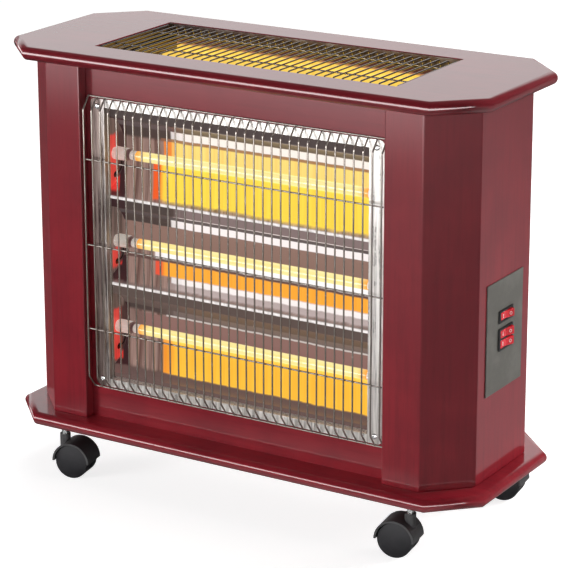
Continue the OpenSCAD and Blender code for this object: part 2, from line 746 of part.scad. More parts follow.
module single_switch_case() switch_case(single_z, single_case_w, [single_z]);
module double_switch_case()
    switch_case(double_z, double_case_w, [double_z - rocker_step, double_z + rocker_step]);

// Rocker with two inclined faces, round ends and two pivot pins, shown with its front end pressed
module rocker(z) color(rocker_red) {
    half = rocker_l / 2;
    crown = 4.5;
    valley = crown - half * tan(rocker_tilt);
    translate([pivot_x, 0, z]) rotate([0, 0, -rocker_tilt]) {
        intersection() {
            translate([0, 0, -rocker_w / 2]) linear_extrude(rocker_w)
                polygon([[crown, -half], [valley, 0], [crown, half], [0.5, half], [-5, 6], [-5, -6], [0.5, -half]]);
            cylinder(h = rocker_w + 2 * over, r = half, center = true, $fn = 96);
        }
        cylinder(h = rocker_w + 2 * pin_l, r = pin_r, center = true);
    }
}

module single_rocker() rocker(single_z);
module double_upper_rocker() rocker(double_z + rocker_step);
module double_lower_rocker() rocker(double_z - rocker_step);

/* Electrical parts inside */

block_l = 46;
block_w = 18;
block_h = 16;
block_x = corner_x - 77;
block_y = face_y - 47;

module terminal_block() color("#e8e4d8")
    translate([block_x, block_y, column_z]) {
        difference() {
            translate([-block_l / 2, -block_w / 2, 0]) cube([block_l, block_w, block_h]);
            for (i = [-1.5 : 1 : 1.5]) translate([i * 11, 0, block_h - 5]) cylinder(h = 5 + over, d = 6);
            for (s = [-1, 1]) translate([0, s * block_w / 2, block_h / 2]) cube([3, 4, block_h + over], center = true);
        }
    }

tip_size = [34, 22, 26];
tip_x = corner_x - 17;
tip_y = panel_back_y + 75;

module tip_over_switch() color(black_plastic)
    translate([tip_x, tip_y, column_z]) {
        translate([-tip_size[0] / 2, -tip_size[1] / 2, 0]) cube(tip_size);
        translate([-tip_size[0] / 2 - 7, -tip_size[1] / 2, 0]) cube([tip_size[0] + 14, tip_size[1], 3]);
        translate([0, 0, tip_size[2]]) cylinder(h = 4, d = 12);
    }

cutout_d = 16;
cutout_h = 9;
cutout_y = mouth_y + end_plate_depth - cutout_d / 2 - 5;

module thermal_cutout() color(black_plastic)
    translate([bay_w / 2 + end_plate_t, cutout_y, joint_z[0]]) rotate([0, 90, 0]) {
        cylinder(h = cutout_h, d = cutout_d);
        cylinder(h = 2, d = cutout_d + 6);
        for (s = [-1, 1]) translate([s * 4 - 0.4, -3, cutout_h]) cube([0.8, 6, 6]);
    }

lead_r = 1;
loom_x = bay_w / 2 + end_plate_t + 12;
loom_r = 2.5;
loom_low = column_z + 14;

floor_loom_z = column_z + loom_r + gap;
loom_down = [[loom_x, tube_y, tube_z(0) - lead_drop], [loom_x, tube_y, loom_low + 10],
    [loom_x - 2, tube_y + 6, loom_low], [loom_x - 4, tube_y + 30, floor_loom_z]];
right_loom_end = [[loom_x - 4, block_y - 36, floor_loom_z], [block_x + 10, block_y - 20, floor_loom_z],
    [block_x + 10, block_y - block_w / 2, floor_loom_z]];
left_loom_end = [[4 - loom_x, block_y - 20, floor_loom_z], [14 - loom_x, block_y - 5, floor_loom_z],
    [30 - loom_x, block_y, floor_loom_z], [block_x - block_l / 2, block_y, floor_loom_z]];
case_back_x = plate_x - case_depth;
block_end_x = block_x + block_l / 2;

// Leads from the caps to a loom down each side, looms to the terminal block, leads on to the switches
module wiring() color(black_plastic) {
    for (side = [-1, 1]) scale_side(side) {
        for (i = [0 : 2]) let (z = tube_z(i), x = bay_w / 2 - 9)
            swept_tube([[x, tube_y, z - cap_flat], [x, tube_y, z - 16], [x + 4, tube_y, z - 23],
                [bay_w / 2 + 2, tube_y, z - lead_drop], [loom_x - loom_r, tube_y, z - lead_drop - 3]], lead_r, 6);
        let (x = top_bay_w / 2 + end_plate_t + spigot_out)
            swept_tube([[x, top_tube_y, top_tube_z], [x + 5, top_tube_y, top_tube_z - 1],
                [loom_x, top_tube_y, top_tube_z - 14], [loom_x, tube_y + 20, tube_z(0)],
                [loom_x, tube_y, tube_z(0) - lead_drop + 8], loom_down[0]], lead_r, 6);
    }
    swept_tube(concat(loom_down, right_loom_end), loom_r, 8);
    swept_tube(concat([for (p = loom_down) [-p[0], p[1], p[2]]], left_loom_end), loom_r, 8);
    for (k = [0 : 2]) let (y = -8 + 8 * k, z = [double_z - rocker_step, double_z + rocker_step, single_z][k])
        swept_tube([[case_back_x, y, z], [case_back_x - 4, y, z], [case_back_x - 14, y, z - 8],
            [case_back_x - 22, y, z - 30], [case_back_x - 22, y, column_z + 60],
            [block_end_x + 22, block_y - 16 + 8 * k, column_z + 12],
            [block_end_x + 5, block_y - 5 + 5 * k, column_z + 8], [block_end_x, block_y - 5 + 5 * k, column_z + 8]],
            lead_r, 6);
}

/* Casters */

socket_d = 12;
socket_h = 13;
caster_places = [[-caster_x, -caster_y], [caster_x, -caster_y], [-caster_x, caster_y], [caster_x, caster_y]];
wheel_r = wheel_d / 2;
wheel_gap = 0.5;
hood_half = web_t / 2 + wheel_gap + wheel_w;
hood_r = wheel_r + 0.8 + hood_t;
boss_top = caster_h - 12;
boss_bottom = wheel_r + 11;

module at_casters() {
    for (p = caster_places) translate([p[0], p[1], 0]) children();
}

module caster_sockets() color(steel_grey)
    at_casters() difference() {
        translate([0, 0, base_z]) cylinder(h = socket_h, d = socket_d);
        translate([0, 0, base_z - over]) cylinder(h = socket_h - 2 + over, d = stem_d);
    }

// Stems: a shaft that fills its socket, a flange under the board and a reach down into the hood
module caster_stems() color(polished)
    at_casters() {
        translate([0, 0, boss_top - 8]) cylinder(h = base_z + socket_h - 2 - boss_top + 8, d = stem_d);
        translate([0, 0, base_z - 2]) cylinder(h = 2, d = stem_d + 6);
    }

// Puts what follows at caster i, turned as it stands, with the swivel axis at the origin
module at_caster(i) {
    translate([caster_places[i][0], caster_places[i][1], 0]) rotate([0, 0, caster_turn[i]]) children();
}

// Hood: half round shell over both wheels with the stem's boss, and a web between them with the axle's boss
module hood(i) color(black_plastic) at_caster(i)
    difference() {
        union() {
            difference() {
                union() {
                    translate([caster_trail, 0, wheel_r]) rotate([90, 0, 0])
                        cylinder(h = 2 * hood_half, r = hood_r, center = true, $fn = 96);
                    translate([0, 0, boss_bottom]) cylinder(h = boss_top - boss_bottom, d = stem_d + 5);
                }
                translate([caster_trail, 0, wheel_r]) rotate([90, 0, 0])
                    cylinder(h = 2 * hood_half + 2 * over, r = hood_r - hood_t, center = true, $fn = 96);
                translate([-2 * hood_r, -2 * hood_r, wheel_r - 2 * hood_r])
                    cube([6 * hood_r, 4 * hood_r, 2 * hood_r]);
            }
            translate([caster_trail, 0, wheel_r]) rotate([90, 0, 0]) {
                intersection() {
                    cylinder(h = web_t, r = hood_r - hood_t / 2, center = true, $fn = 96);
                    translate([-hood_r, 0, -web_t]) cube([2 * hood_r, 2 * hood_r, 2 * web_t]);
                }
                cylinder(h = web_t, d = axle_d + 7, center = true);
            }
        }
        translate([caster_trail, 0, wheel_r]) rotate([90, 0, 0])
            cylinder(h = web_t + 2 * over, d = axle_d, center = true);
        translate([0, 0, boss_top - 8 - 0.3]) cylinder(h = 8 + 0.3 + over, d = stem_d + 2 * running);
    }

module axle(i) color(polished) at_caster(i)
    translate([caster_trail, 0, wheel_r]) rotate([90, 0, 0])
        cylinder(h = 2 * hood_half - 4, d = axle_d, center = true);

// Wheel with a domed outer face and a rounded tread edge; side is -1 for the outer wheel
module wheel(i, side) color(black_plastic) at_caster(i)
    translate([caster_trail, side * (web_t / 2 + wheel_gap), wheel_r]) rotate([-90 * side, 0, 0])
        difference() {
            intersection() {
                cylinder(h = wheel_w, r = wheel_r, $fn = 96);
                translate([0, 0, wheel_w - wheel_dome]) sphere(r = wheel_dome, $fn = 96);
                translate([0, 0, wheel_w - 20]) sphere(r = 28, $fn = 96);
            }
            translate([0, 0, -over]) cylinder(h = wheel_w - 2 + over, r = axle_d / 2 + running);
            difference() {
                translate([0, 0, -over]) cylinder(h = wheel_w - 4 + over, r = wheel_r - 4, $fn = 96);
                translate([0, 0, -2 * over]) cylinder(h = wheel_w, r = axle_d / 2 + 2.5);
            }
        }

module front_left_hood() hood(0);
module front_left_axle() axle(0);
module front_left_outer_wheel() wheel(0, -1);
module front_left_inner_wheel() wheel(0, 1);
module front_right_hood() hood(1);
module front_right_axle() axle(1);
module front_right_outer_wheel() wheel(1, 1);
module front_right_inner_wheel() wheel(1, -1);
module rear_left_hood() hood(2);
module rear_left_axle() axle(2);
module rear_left_outer_wheel() wheel(2, -1);
module rear_left_inner_wheel() wheel(2, 1);
module rear_right_hood() hood(3);
module rear_right_axle() axle(3);
module rear_right_outer_wheel() wheel(3, 1);
module rear_right_inner_wheel() wheel(3, -1);

/* Screws */

back_screw_x = corner_x - 8;

module at_back_screws() {
    for (s = [-1, 1], z = [column_z + 20, column_z + column_h / 2, column_z + column_h - 20])
        translate([s * back_screw_x, face_y, z]) children();
}

// Pan head with its cross slot, on a shank that points along +Z
module screw(l) {
    difference() {
        intersection() {
            translate([0, 0, -2]) cylinder(h = 2, r = 3.5);
            translate([0, 0, 2.6]) sphere(r = 4.8);
        }
        for (a = [0, 90]) rotate([0, 0, a]) translate([0, 0, -2]) cube([3.6, 0.8, 1.6], center = true);
    }
    cylinder(h = l, r = screw_r);
}

module screws() color(polished) {
    at_frame_screws() translate([0, -frame_t, 0]) rotate([-90, 0, 0]) screw(panel_t);
    at_back_screws() rotate([90, 0, 0]) screw(back_t);
    for (s = [-1, 1], z = end_screw_z)
        translate([s * end_screw_x, mouth_y + end_plate_t, z]) rotate([90, 0, 0]) screw(end_plate_t);
}

top_board();
base_board();
left_front_post();
left_front_corner();
left_side_board();
left_rear_corner();
right_front_post();
right_front_corner();
right_side_board();
right_rear_corner();
front_panel();
back_panel();
front_frame();
front_guard();
upper_reflector();
middle_reflector();
lower_reflector();
left_end_plate();
right_end_plate();
upper_tube();
middle_tube();
lower_tube();
top_tube();
heating_coils();
ceramic_caps();
top_frame();
top_guard();
top_reflector();
top_end_plates();
switch_plate();
single_switch_case();
double_switch_case();
single_rocker();
double_upper_rocker();
double_lower_rocker();
terminal_block();
wiring();
tip_over_switch();
thermal_cutout();
cord_gland();
caster_sockets();
caster_stems();
screws();
front_left_hood();
front_left_axle();
front_left_outer_wheel();
front_left_inner_wheel();
front_right_hood();
front_right_axle();
front_right_outer_wheel();
front_right_inner_wheel();
rear_left_hood();
rear_left_axle();
rear_left_outer_wheel();
rear_left_inner_wheel();
rear_right_hood();
rear_right_axle();
rear_right_outer_wheel();
rear_right_inner_wheel();
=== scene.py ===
"""Halogen heater in a lacquered cabinet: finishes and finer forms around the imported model.

Lengths are written in millimetres and become metres where a mesh is made. +X is the cabinet's
right, +Y its back, +Z up, and the floor is at zero.
"""

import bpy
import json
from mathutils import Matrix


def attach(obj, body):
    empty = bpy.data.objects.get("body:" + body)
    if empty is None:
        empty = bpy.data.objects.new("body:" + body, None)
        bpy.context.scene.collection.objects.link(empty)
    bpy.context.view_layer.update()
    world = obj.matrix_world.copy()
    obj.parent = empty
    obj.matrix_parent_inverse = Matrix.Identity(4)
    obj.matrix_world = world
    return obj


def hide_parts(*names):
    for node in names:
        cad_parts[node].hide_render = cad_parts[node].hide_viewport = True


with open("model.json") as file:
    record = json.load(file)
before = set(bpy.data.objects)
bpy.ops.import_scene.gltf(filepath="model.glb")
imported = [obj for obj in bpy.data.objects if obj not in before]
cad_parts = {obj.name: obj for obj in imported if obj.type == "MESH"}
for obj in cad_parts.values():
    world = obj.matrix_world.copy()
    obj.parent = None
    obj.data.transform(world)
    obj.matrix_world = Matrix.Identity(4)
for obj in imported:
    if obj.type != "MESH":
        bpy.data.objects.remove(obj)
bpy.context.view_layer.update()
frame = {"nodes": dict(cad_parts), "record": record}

import json
from math import cos, pi, radians, sin, tan

import bmesh
import bpy
import numpy as np
from mathutils import Matrix, Vector

MM = 0.001
body_of = {node: body for body, members in frame["record"]["behaviour"]["bodies"].items()
           for node in members}

# ---------------------------------------------------------------- sizes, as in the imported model

# Quartz tubes: where each one's middle line lies in Y and Z, and the form that they share
TUBES = {"upper": (-58.0, 402.0), "middle": (-58.0, 294.0), "lower": (-58.0, 186.0),
         "top": (-12.0, 494.0)}
TUBE_HALF, TUBE_RADIUS, TUBE_BORE, TUBE_EDGE = 158.0, 6.0, 5.0, 0.3

# Coils in the tubes
COIL_HALF, COIL_RADIUS, COIL_WIRE, COIL_TAIL = 150.0, 3.0, 0.42, 4.0
CURLS, CURL_STEPS = 84, 12

# Wire guards: the wires' thickness, number and inner bend, and the gap left where two touch
WIRE, WIRE_COUNT, WIRE_BEND, WIRE_GAP = 2.0, 35, 4.0, 0.05
# The front guard: rim wires and bends in Y and Z, cross wires in Z, and the pegs' ends in Y
FRONT_HALF, FRONT_RIM_Y, FRONT_BEND_Y = 200.0, -96.0, -107.0
FRONT_RIMS, FRONT_BENDS = (478.2, 118.8), (463.2, 133.8)
FRONT_CROSS_LOW, FRONT_CROSS_PITCH = 193.8, 104.7
PEG_FRONT, PEG_BACK = -95.0, -82.0
# The top guard: a rim wire and a bend as (Y, Z), and a cross wire in Y; the others mirror them
TOP_HALF, TOP_RIM, TOP_BEND, TOP_CROSS_Y = 198.0, (76.0, 520.0), (70.0, 532.0), 39.5

# Trough sheets: the lowest and highest point of each, and the form that they share. SHEET is the
# metal's thickness, LIP_Y the plane of the lips and BEAD the radius of a lip's bead.
TROUGHS = {"upper": (355.8, 474), "middle": (248.5, 355.8), "lower": (123, 248.5)}
SHEET, BAY_HALF, LIP_Y, BEAD = 0.8, 190.0, -85.0, 2.0
TROUGH_HALF, TROUGH_DEPTH = 50.0, 48.0
# The tray under the outlet: its rim, its walls, and the arc of its floor
TRAY_HALF_X, TRAY_HALF_Y, TRAY_RIM_Y, TRAY_RIM_Z, TRAY_FLOOR_Z = 191.2, 78.2, 85.0, 517.0, 504.0
TRAY_ARC_HALF, TRAY_ARC_DEPTH = 60.0, 32.0

# Leads inside the cabinet: the radius of one lead and of a bundle, where the bundles run, and
# where a lead leaves a ceramic cap, CAP_UNDER below its tube's middle line
LEAD, LOOM = 1.0, 2.5
LOOM_X, LOOM_TOP, LOOM_LOW, FLOOR_Z = 203.0, 375.0, 94.0, 82.7
CAP_X, CAP_UNDER = 181.0, 7.04

# Rocker switches: the height of each pivot, the rocker's form about it, and the printed marks
ROCKERS = {"single_rocker": 268.0, "double_upper_rocker": 246.9, "double_lower_rocker": 235.1}
PIVOT_X, TILT, ROCKER_HALF, ROCKER_TIP = 300.0, radians(9), 13.6, 4.5
MARK_MIDDLE, MARK_SUNK, MARK_PROUD = 7.2, 0.05, 0.07
RING_OUTER, RING_INNER, BAR_HALF, BAR_TALL = 2.1, 1.25, 0.75, 2.3

# ---------------------------------------------------------------- camera


def stand_camera(place, yaw, pitch, roll, lens, shift):
    """Camera at place, turned yaw to the left of +Y, tilted pitch down and rolled by roll.

    Across, ahead and up are the unrolled camera's directions. Lens is in millimetres, and shift
    moves the picture's frame by parts of its width.
    """
    across = Vector((cos(yaw), sin(yaw), 0))
    ahead = Vector((-sin(yaw) * cos(pitch), cos(yaw) * cos(pitch), -sin(pitch)))
    up = across.cross(ahead)
    right = cos(roll) * across + sin(roll) * up
    top = -sin(roll) * across + cos(roll) * up
    data = bpy.data.cameras.new("camera")
    data.lens, data.sensor_width = lens, 36
    data.shift_x, data.shift_y = shift
    data.clip_end = 60
    camera = bpy.data.objects.new("camera", data)
    turn = Matrix((right, top, -ahead)).transposed().to_4x4()
    camera.matrix_world = Matrix.Translation(place) @ turn
    bpy.context.scene.collection.objects.link(camera)
    bpy.context.scene.camera = camera


stand_camera(place=(1.49204, -2.42036, 1.15954), yaw=radians(31.681), pitch=radians(16.123),
             roll=radians(-0.153), lens=159.52, shift=(0.0141, -0.120))
bpy.context.scene.view_settings.view_transform = "Standard"

# ---------------------------------------------------------------- finishes


class Value:
    """A socket in a finish's nodes. Arithmetic on number sockets adds Math nodes."""

    def __init__(self, finish, socket):
        self.finish, self.socket = finish, socket

    def maths(self, operation, *terms):
        return self.finish.node("ShaderNodeMath", {"operation": operation}, dict(enumerate(terms)))

    def __add__(self, other): return self.maths("ADD", self, other)
    def __radd__(self, other): return self.maths("ADD", other, self)
    def __sub__(self, other): return self.maths("SUBTRACT", self, other)
    def __rsub__(self, other): return self.maths("SUBTRACT", other, self)
    def __mul__(self, other): return self.maths("MULTIPLY", self, other)
    def __rmul__(self, other): return self.maths("MULTIPLY", other, self)
    def __abs__(self): return self.maths("ABSOLUTE", self)

    def sine(self): return self.maths("SINE", self)
    def lower(self, other): return self.maths("MINIMUM", self, other)
    def higher(self, other): return self.maths("MAXIMUM", self, other)

    def ramp(self, start, end):
        """0 at start, 1 at end and a smooth rise between them; start may be the greater."""
        return self.finish.node("ShaderNodeMapRange", {"interpolation_type": "SMOOTHSTEP"},
                                {"Value": self, "From Min": start, "From Max": end})

    def band(self, low, high, soft):
        """1 between low and high, with soft edges."""
        return self.ramp(low - soft, low + soft) * self.ramp(high + soft, high - soft)


class Finish:
    """A material, or the world, written as node calls."""

    def __init__(self, name, owner=None, kind="ShaderNodeBsdfPrincipled", **sockets):
        self.owner = owner or bpy.data.materials.new(name)
        self.owner.use_nodes = True
        self.tree = self.owner.node_tree
        self.tree.nodes.clear()
        end = "ShaderNodeOutputWorld" if owner else "ShaderNodeOutputMaterial"
        self.end = self.tree.nodes.new(end)
        self.shader = self.node(kind)
        self.show(self.shader)
        self.set(**sockets)

    def node(self, kind, settings=None, inputs=None, output=0):
        """A node of this kind: its settings first, then the values or links of its sockets."""
        made = self.tree.nodes.new(kind)
        for key, value in (settings or {}).items():
            setattr(made, key, value)
        for key, value in (inputs or {}).items():
            self.feed(made.inputs[key], value)
        return Value(self, made.outputs[output])

    def feed(self, socket, value):
        if isinstance(value, Value):
            self.tree.links.new(value.socket, socket)
        else:
            socket.default_value = value

    def show(self, value):
        self.tree.links.new(value.socket, self.end.inputs["Surface"])

    def set(self, **sockets):
        """Sockets of the main shader by name, with _ for a space."""
        for key, value in sockets.items():
            self.feed(self.shader.socket.node.inputs[key.replace("_", " ")], value)
        return self

    def place(self, stretch=(1, 1, 1), shift=(0, 0, 0)):
        """Object coordinates in metres, moved by shift and then stretched."""
        spot = self.node("ShaderNodeTexCoord", output=3)
        spot = self.node("ShaderNodeVectorMath", {"operation": "ADD"}, {0: spot, 1: shift})
        return self.node("ShaderNodeVectorMath", {"operation": "MULTIPLY"}, {0: spot, 1: stretch})

    def split(self, spot):
        """The three numbers of a vector."""
        return [self.node("ShaderNodeSeparateXYZ", None, {0: spot}, output=k) for k in range(3)]

    def axes(self, shift=(0, 0, 0)):
        """Object coordinates as three numbers in millimetres."""
        return self.split(self.place((1 / MM, 1 / MM, 1 / MM), shift))

    def noise(self, scale, stretch=(1, 1, 1), detail=3.0, rough=0.5, shift=(0, 0, 0), spot=None):
        """Noise from 0 to 1 on object coordinates, or on spot; scale is in grains a metre."""
        return self.node("ShaderNodeTexNoise", None, {
            "Vector": spot or self.place(stretch, shift), "Scale": scale,
            "Detail": detail, "Roughness": rough})

    def mix(self, mask, first, second, blend="MIX"):
        """The first colour where mask is 0 and the second where it is 1."""
        return self.node("ShaderNodeMix", {"data_type": "RGBA", "blend_type": blend},
                         {0: mask, 6: first, 7: second}, output=2)

    def bump(self, height, strength, distance):
        """Relief of a height from 0 to 1, distance metres deep."""
        return self.node("ShaderNodeBump", None,
                         {"Height": height, "Strength": strength, "Distance": distance})


def colour(text):
    """Linear colour from six hexadecimal digits as a screen shows them."""
    shown = [int(text[k:k + 2], 16) / 255 for k in (0, 2, 4)]
    linear = (c / 12.92 if c <= 0.04045 else ((c + 0.055) / 1.055) ** 2.4 for c in shown)
    return (*linear, 1.0)


def lacquer_finish(name, along):
    """Cherry lacquer: a cloudy red ground with faint grain along the board, and painted shade that
    makes it darker towards the top, under a clear glossy coat."""
    stretch = {"x": (0.06, 1, 1), "z": (1, 1, 0.06)}[along]
    f = Finish(name, Roughness=0.45, Specular_IOR_Level=0.15, Coat_Roughness=0.08, Coat_IOR=1.5)
    cloud = f.noise(9, detail=3, rough=0.6).ramp(0.36, 0.68)
    grain = f.noise(170, stretch, detail=4, rough=0.62).ramp(0.42, 0.7)
    pores = f.noise(620, stretch, detail=2, rough=0.5, shift=(0.3, 0.1, 0.2)).ramp(0.6, 0.75)
    ground = f.mix(cloud, colour("851c28"), colour("95222d"))
    ground = f.mix(grain * 0.3, ground, colour("64161f"))
    ground = f.mix(pores * 0.2, ground, colour("50131b"))
    _, _, z = f.axes()
    # Painted shade: towards the top the ground is mixed with a deeper red.
    deep = f.mix(0.6, ground, colour("571119"))
    waves = f.noise(26, detail=2, rough=0.4) + 0.12 * grain
    # Where it is seen very flatly the coat gives way, so that it doesn't mirror plain white
    facing = f.node("ShaderNodeLayerWeight", None, {"Blend": 0.5}, output=1)
    f.set(Base_Color=f.mix(z.ramp(60, 520) * 0.9, ground, deep),
          Normal=f.bump(waves, 0.10, 0.0012), Coat_Weight=1 - 0.85 * facing.ramp(0.79, 0.93))
    return f


def polished_finish(name, tint, rough, dust=0.35, metal=1.0):
    """Bright metal with fine rolling marks and a little dulling in patches; metal under 1 is a
    hazier plating."""
    f = Finish(name, Metallic=metal)
    patch = f.noise(60, detail=4, rough=0.6).ramp(0.4, 0.75)
    lines = f.noise(900, (0.03, 1, 1), detail=2)
    f.set(Base_Color=f.mix(patch * dust, colour(tint), colour("9c9894")),
          Roughness=rough + 0.10 * patch + 0.06 * lines,
          Normal=f.bump(lines, 0.05, 0.0004))
    return f


def moulded_finish(name, tint, rough, grain=1400, gloss=0.45):
    """Moulded plastic with a fine eroded grain, paler worn clouds and slightly uneven gloss."""
    f = Finish(name, Specular_IOR_Level=gloss)
    fine = f.noise(grain, detail=3, rough=0.6)
    wide = f.noise(45, detail=3, rough=0.6)
    ground = colour(tint)
    worn = tuple(min(1.0, c * 1.6 + 0.012) for c in ground[:3]) + (1.0,)
    f.set(Base_Color=f.mix(wide.ramp(0.4, 0.8) * 0.5, ground, worn),
          Roughness=rough + 0.12 * wide, Normal=f.bump(fine, 0.22, 0.0005))
    return f


def flange_finish():
    """Polished flange with upright grinding streaks, painted shade along its left side, and a faint
    painted glow of its own colour.
    """
    f = Finish("flange_steel", Metallic=0.5, Emission_Strength=0.10)
    x, _, _ = f.axes()
    streak = f.noise(420, (1, 1, 0.03), detail=4, rough=0.65).ramp(0.35, 0.65)
    patch = f.noise(60, detail=4, rough=0.6).ramp(0.4, 0.75)
    bright = f.mix(streak, colour("b4b0ac"), colour("e8e4e0"))
    # Painted shade: the flange's left side is dark brown-grey.
    painted_shade_left = f.mix(streak, colour("382826"), colour("7c6c66"))
    shown = f.mix((x + 6 * streak).ramp(-166, -182), bright, painted_shade_left)
    # Its colour is also emitted: a faint painted glow.
    f.set(Base_Color=shown, Emission_Color=shown,
          Roughness=0.26 + 0.10 * patch + 0.05 * streak, Normal=f.bump(streak, 0.06, 0.0004))
    return f


def painted_steel_finish():
    """Grey powder coat on the back panel: orange peel over wide, faintly duller clouds."""
    f = Finish("painted_steel", Specular_IOR_Level=0.4)
    peel = f.noise(700, detail=2, rough=0.5)
    wide = f.noise(14, detail=4, rough=0.6)
    f.set(Base_Color=f.mix(wide.ramp(0.35, 0.7), colour("8d8c8a"), colour("9b9a97")),
          Roughness=0.42 + 0.12 * wide, Normal=f.bump(peel, 0.3, 0.0006))
    return f


def ceramic_finish():
    """Off-white fired ceramic with a chalky grain, faint heat browning and a dark ring round each
    cap, its colour also emitted as a painted glow."""
    f = Finish("ceramic", Specular_IOR_Level=0.35, Emission_Strength=0.42)
    grain = f.noise(2200, detail=4, rough=0.7)
    scorch = f.noise(130, detail=4, rough=0.6).ramp(0.5, 0.8)
    x, _, _ = f.axes()
    glazed = f.mix(scorch * 0.5, colour("f0e8de"), colour("b89888"))
    glazed = f.mix(abs(x).band(166, 170.5, 0.8), glazed, colour("6a4c4a"))
    # The caps' colour is also emitted: a painted glow.
    f.set(Base_Color=glazed, Emission_Color=glazed,
          Roughness=0.62 + 0.2 * grain, Normal=f.bump(grain, 0.35, 0.0004))
    return f


def quartz_finish():
    """Quartz at full heat: a cream glow with yellower streaks, orange at its ends, through which
    the coil still shows."""
    f = Finish("quartz", Roughness=0.12, Specular_IOR_Level=0.5, Coat_Weight=0.6,
               Coat_Roughness=0.03, Emission_Strength=1.0)
    x, _, _ = f.axes()
    ends = abs(x).ramp(142, 160)
    streak = f.noise(420, (0.05, 1, 1), detail=3)
    glow = f.mix(streak.ramp(0.35, 0.75) * 0.6, colour("fff0a8"), colour("ffe478"))
    f.set(Base_Color=f.mix(ends, colour("3c3420"), colour("4a2c12")),
          Emission_Color=f.mix(ends, glow, colour("ffa83c")), Alpha=0.78 + 0.2 * streak)
    return f


def coil_finish():
    """Resistance wire at yellow heat, paler where the noise runs hot."""
    f = Finish("coil_glow", Roughness=0.5, Emission_Strength=2.2)
    hot = f.noise(90, detail=2)
    f.set(Base_Color=f.mix(hot, colour("50200a"), colour("703010")),
          Emission_Color=f.mix(hot.ramp(0.3, 0.7), colour("ffc848"), colour("fff0a8")))
    return f


WHOLE = -300.0                            # left of every sheet: a band from here has no left end
EDGE_SLANT, EDGE_FROM_Y = 0.614, -86.0    # how a band's left edge runs into a trough


def reflector_finish(name, tube_z, bands, beads=(), painted_shade_edge=WHOLE, red=(0, 0)):
    """Rolled aluminium trough with painted reflections of its hot tube: dark, white and yellow
    bands along it, shown as emission.

    A band is a painted reflection: (low, high, colour, colour at its left end, where it starts),
    with its heights measured from the tube. Across is X plus EDGE_SLANT of the depth, so where a
    band starts its edge runs slantwise into the trough. At its left end a band has its second
    colour, with streaks. Left of the painted shade edge the sheet is painted dark as shade, and
    then, between the two heights in red, it has a painted red reflection of the lit end plate. A
    painted highlight lies on the bead at each height in beads.
    """
    f = Finish(name, Metallic=0.6, Specular_IOR_Level=0.15, Emission_Strength=1.0)
    x, y, z = f.axes((0, 0, -tube_z * MM))
    wander = f.noise(38, (1, 0, 0.2), detail=4, rough=0.6) - 0.5
    height = z + 3 * wander
    across = x + EDGE_SLANT * (y - EDGE_FROM_Y)
    slant = f.node("ShaderNodeCombineXYZ", None, {0: across * MM, 2: z * (0.03 * MM)})
    streak = f.noise(110, detail=5, rough=0.7, spot=slant).ramp(0.34, 0.66)
    # Painted reflection: a streaked ground between the tube's lower and upper heights, darker above
    # and below.
    painted_streak_reflection = f.mix(streak, colour("5c423c"), colour("a88c82"))
    shown = f.mix(height.band(-46, 18, 3), colour("4a3f3c"), painted_streak_reflection)
    # Painted shade: left of the painted shade edge the sheet is dark.
    shown = f.mix((across + 3 * wander).ramp(painted_shade_edge, painted_shade_edge - 3), shown, colour("382426"))
    # Painted reflection of the lit end plate, red between the two heights in red.
    mirrored = (across + 5 * wander).ramp(painted_shade_edge - 10, painted_shade_edge - 13) * height.band(*red, 1.5)
    shown = f.mix(mirrored, shown, colour("dc3c36"))
    # Each band is a painted reflection of the tube; the yellow ones vary in their depth.
    for low, high, middle, left, start in bands:
        past_start = (across + 12 * (streak - 0.5)).ramp(start + 5, start + 20)
        tint = f.mix(past_start, colour(left), colour(middle))
        if colour(middle)[2] < 0.3 * colour(middle)[0]:   # a glowing band varies in its depth
            tint = f.mix(streak * 0.28, tint, colour("f0b458"), "MULTIPLY")
        inside = height.band(low, high, 0.9) * (across + 3 * wander).ramp(start - 1.5, start + 1.5)
        shown = f.mix(inside, shown, tint)
    for bead in beads:
        # A painted highlight along each bead.
        painted_highlight = abs(z - bead).ramp(2.2, 1.3) * (0.6 + 0.4 * streak)
        shown = f.mix(painted_highlight, shown, colour("f4eeec"))
    fine = f.noise(900, (0.04, 1, 1), detail=2)
    # The bands show as emission over an almost black metal: painted light.
    f.set(Base_Color=f.mix(0.92, shown, colour("1a1614")), Emission_Color=shown,
          Roughness=0.20 + 0.10 * fine, Normal=f.bump(wander + 0.05 * fine, 0.3, 0.002))
    return f


# Heights of the painted red reflections on the end plates.
LIT_PATCHES = ((358, 426), (261, 284), (144, 208))    # heights on the end plates by the tubes


def end_plate_finish():
    """Steel plate across the troughs' ends with upright grinding streaks, its colour also emitted
    as a painted glow: a painted red reflection in front beside each hot tube, and painted shade
    behind it."""
    f = Finish("end_plate_steel", Metallic=0.7, Emission_Strength=0.7)
    _, y, z = f.axes()
    wander = f.noise(60, detail=4, rough=0.65) - 0.5
    height = z + 12 * wander
    upper, middle, lower = (height.band(*patch, 3) for patch in LIT_PATCHES)
    beside = upper.higher(middle).higher(lower)
    streak = f.noise(300, (1, 1, 0.05), detail=4, rough=0.6).ramp(0.35, 0.65)
    red = f.mix(streak, colour("cc3430"), colour("ee4a40"))
    # Painted red reflection in front of each tube, and painted shade behind it.
    hot = f.mix((y + 5 * wander).ramp(-56, -51), red, colour("3c2426"))
    shown = f.mix(beside, f.mix(streak, colour("40342f"), colour("7a6660")), hot)
    # Its colour is also emitted: a painted glow.
    f.set(Base_Color=f.mix(0.5, shown, colour("8c8480")), Emission_Color=shown,
          Roughness=0.34 + 0.2 * streak, Normal=f.bump(streak, 0.1, 0.0005))
    return f


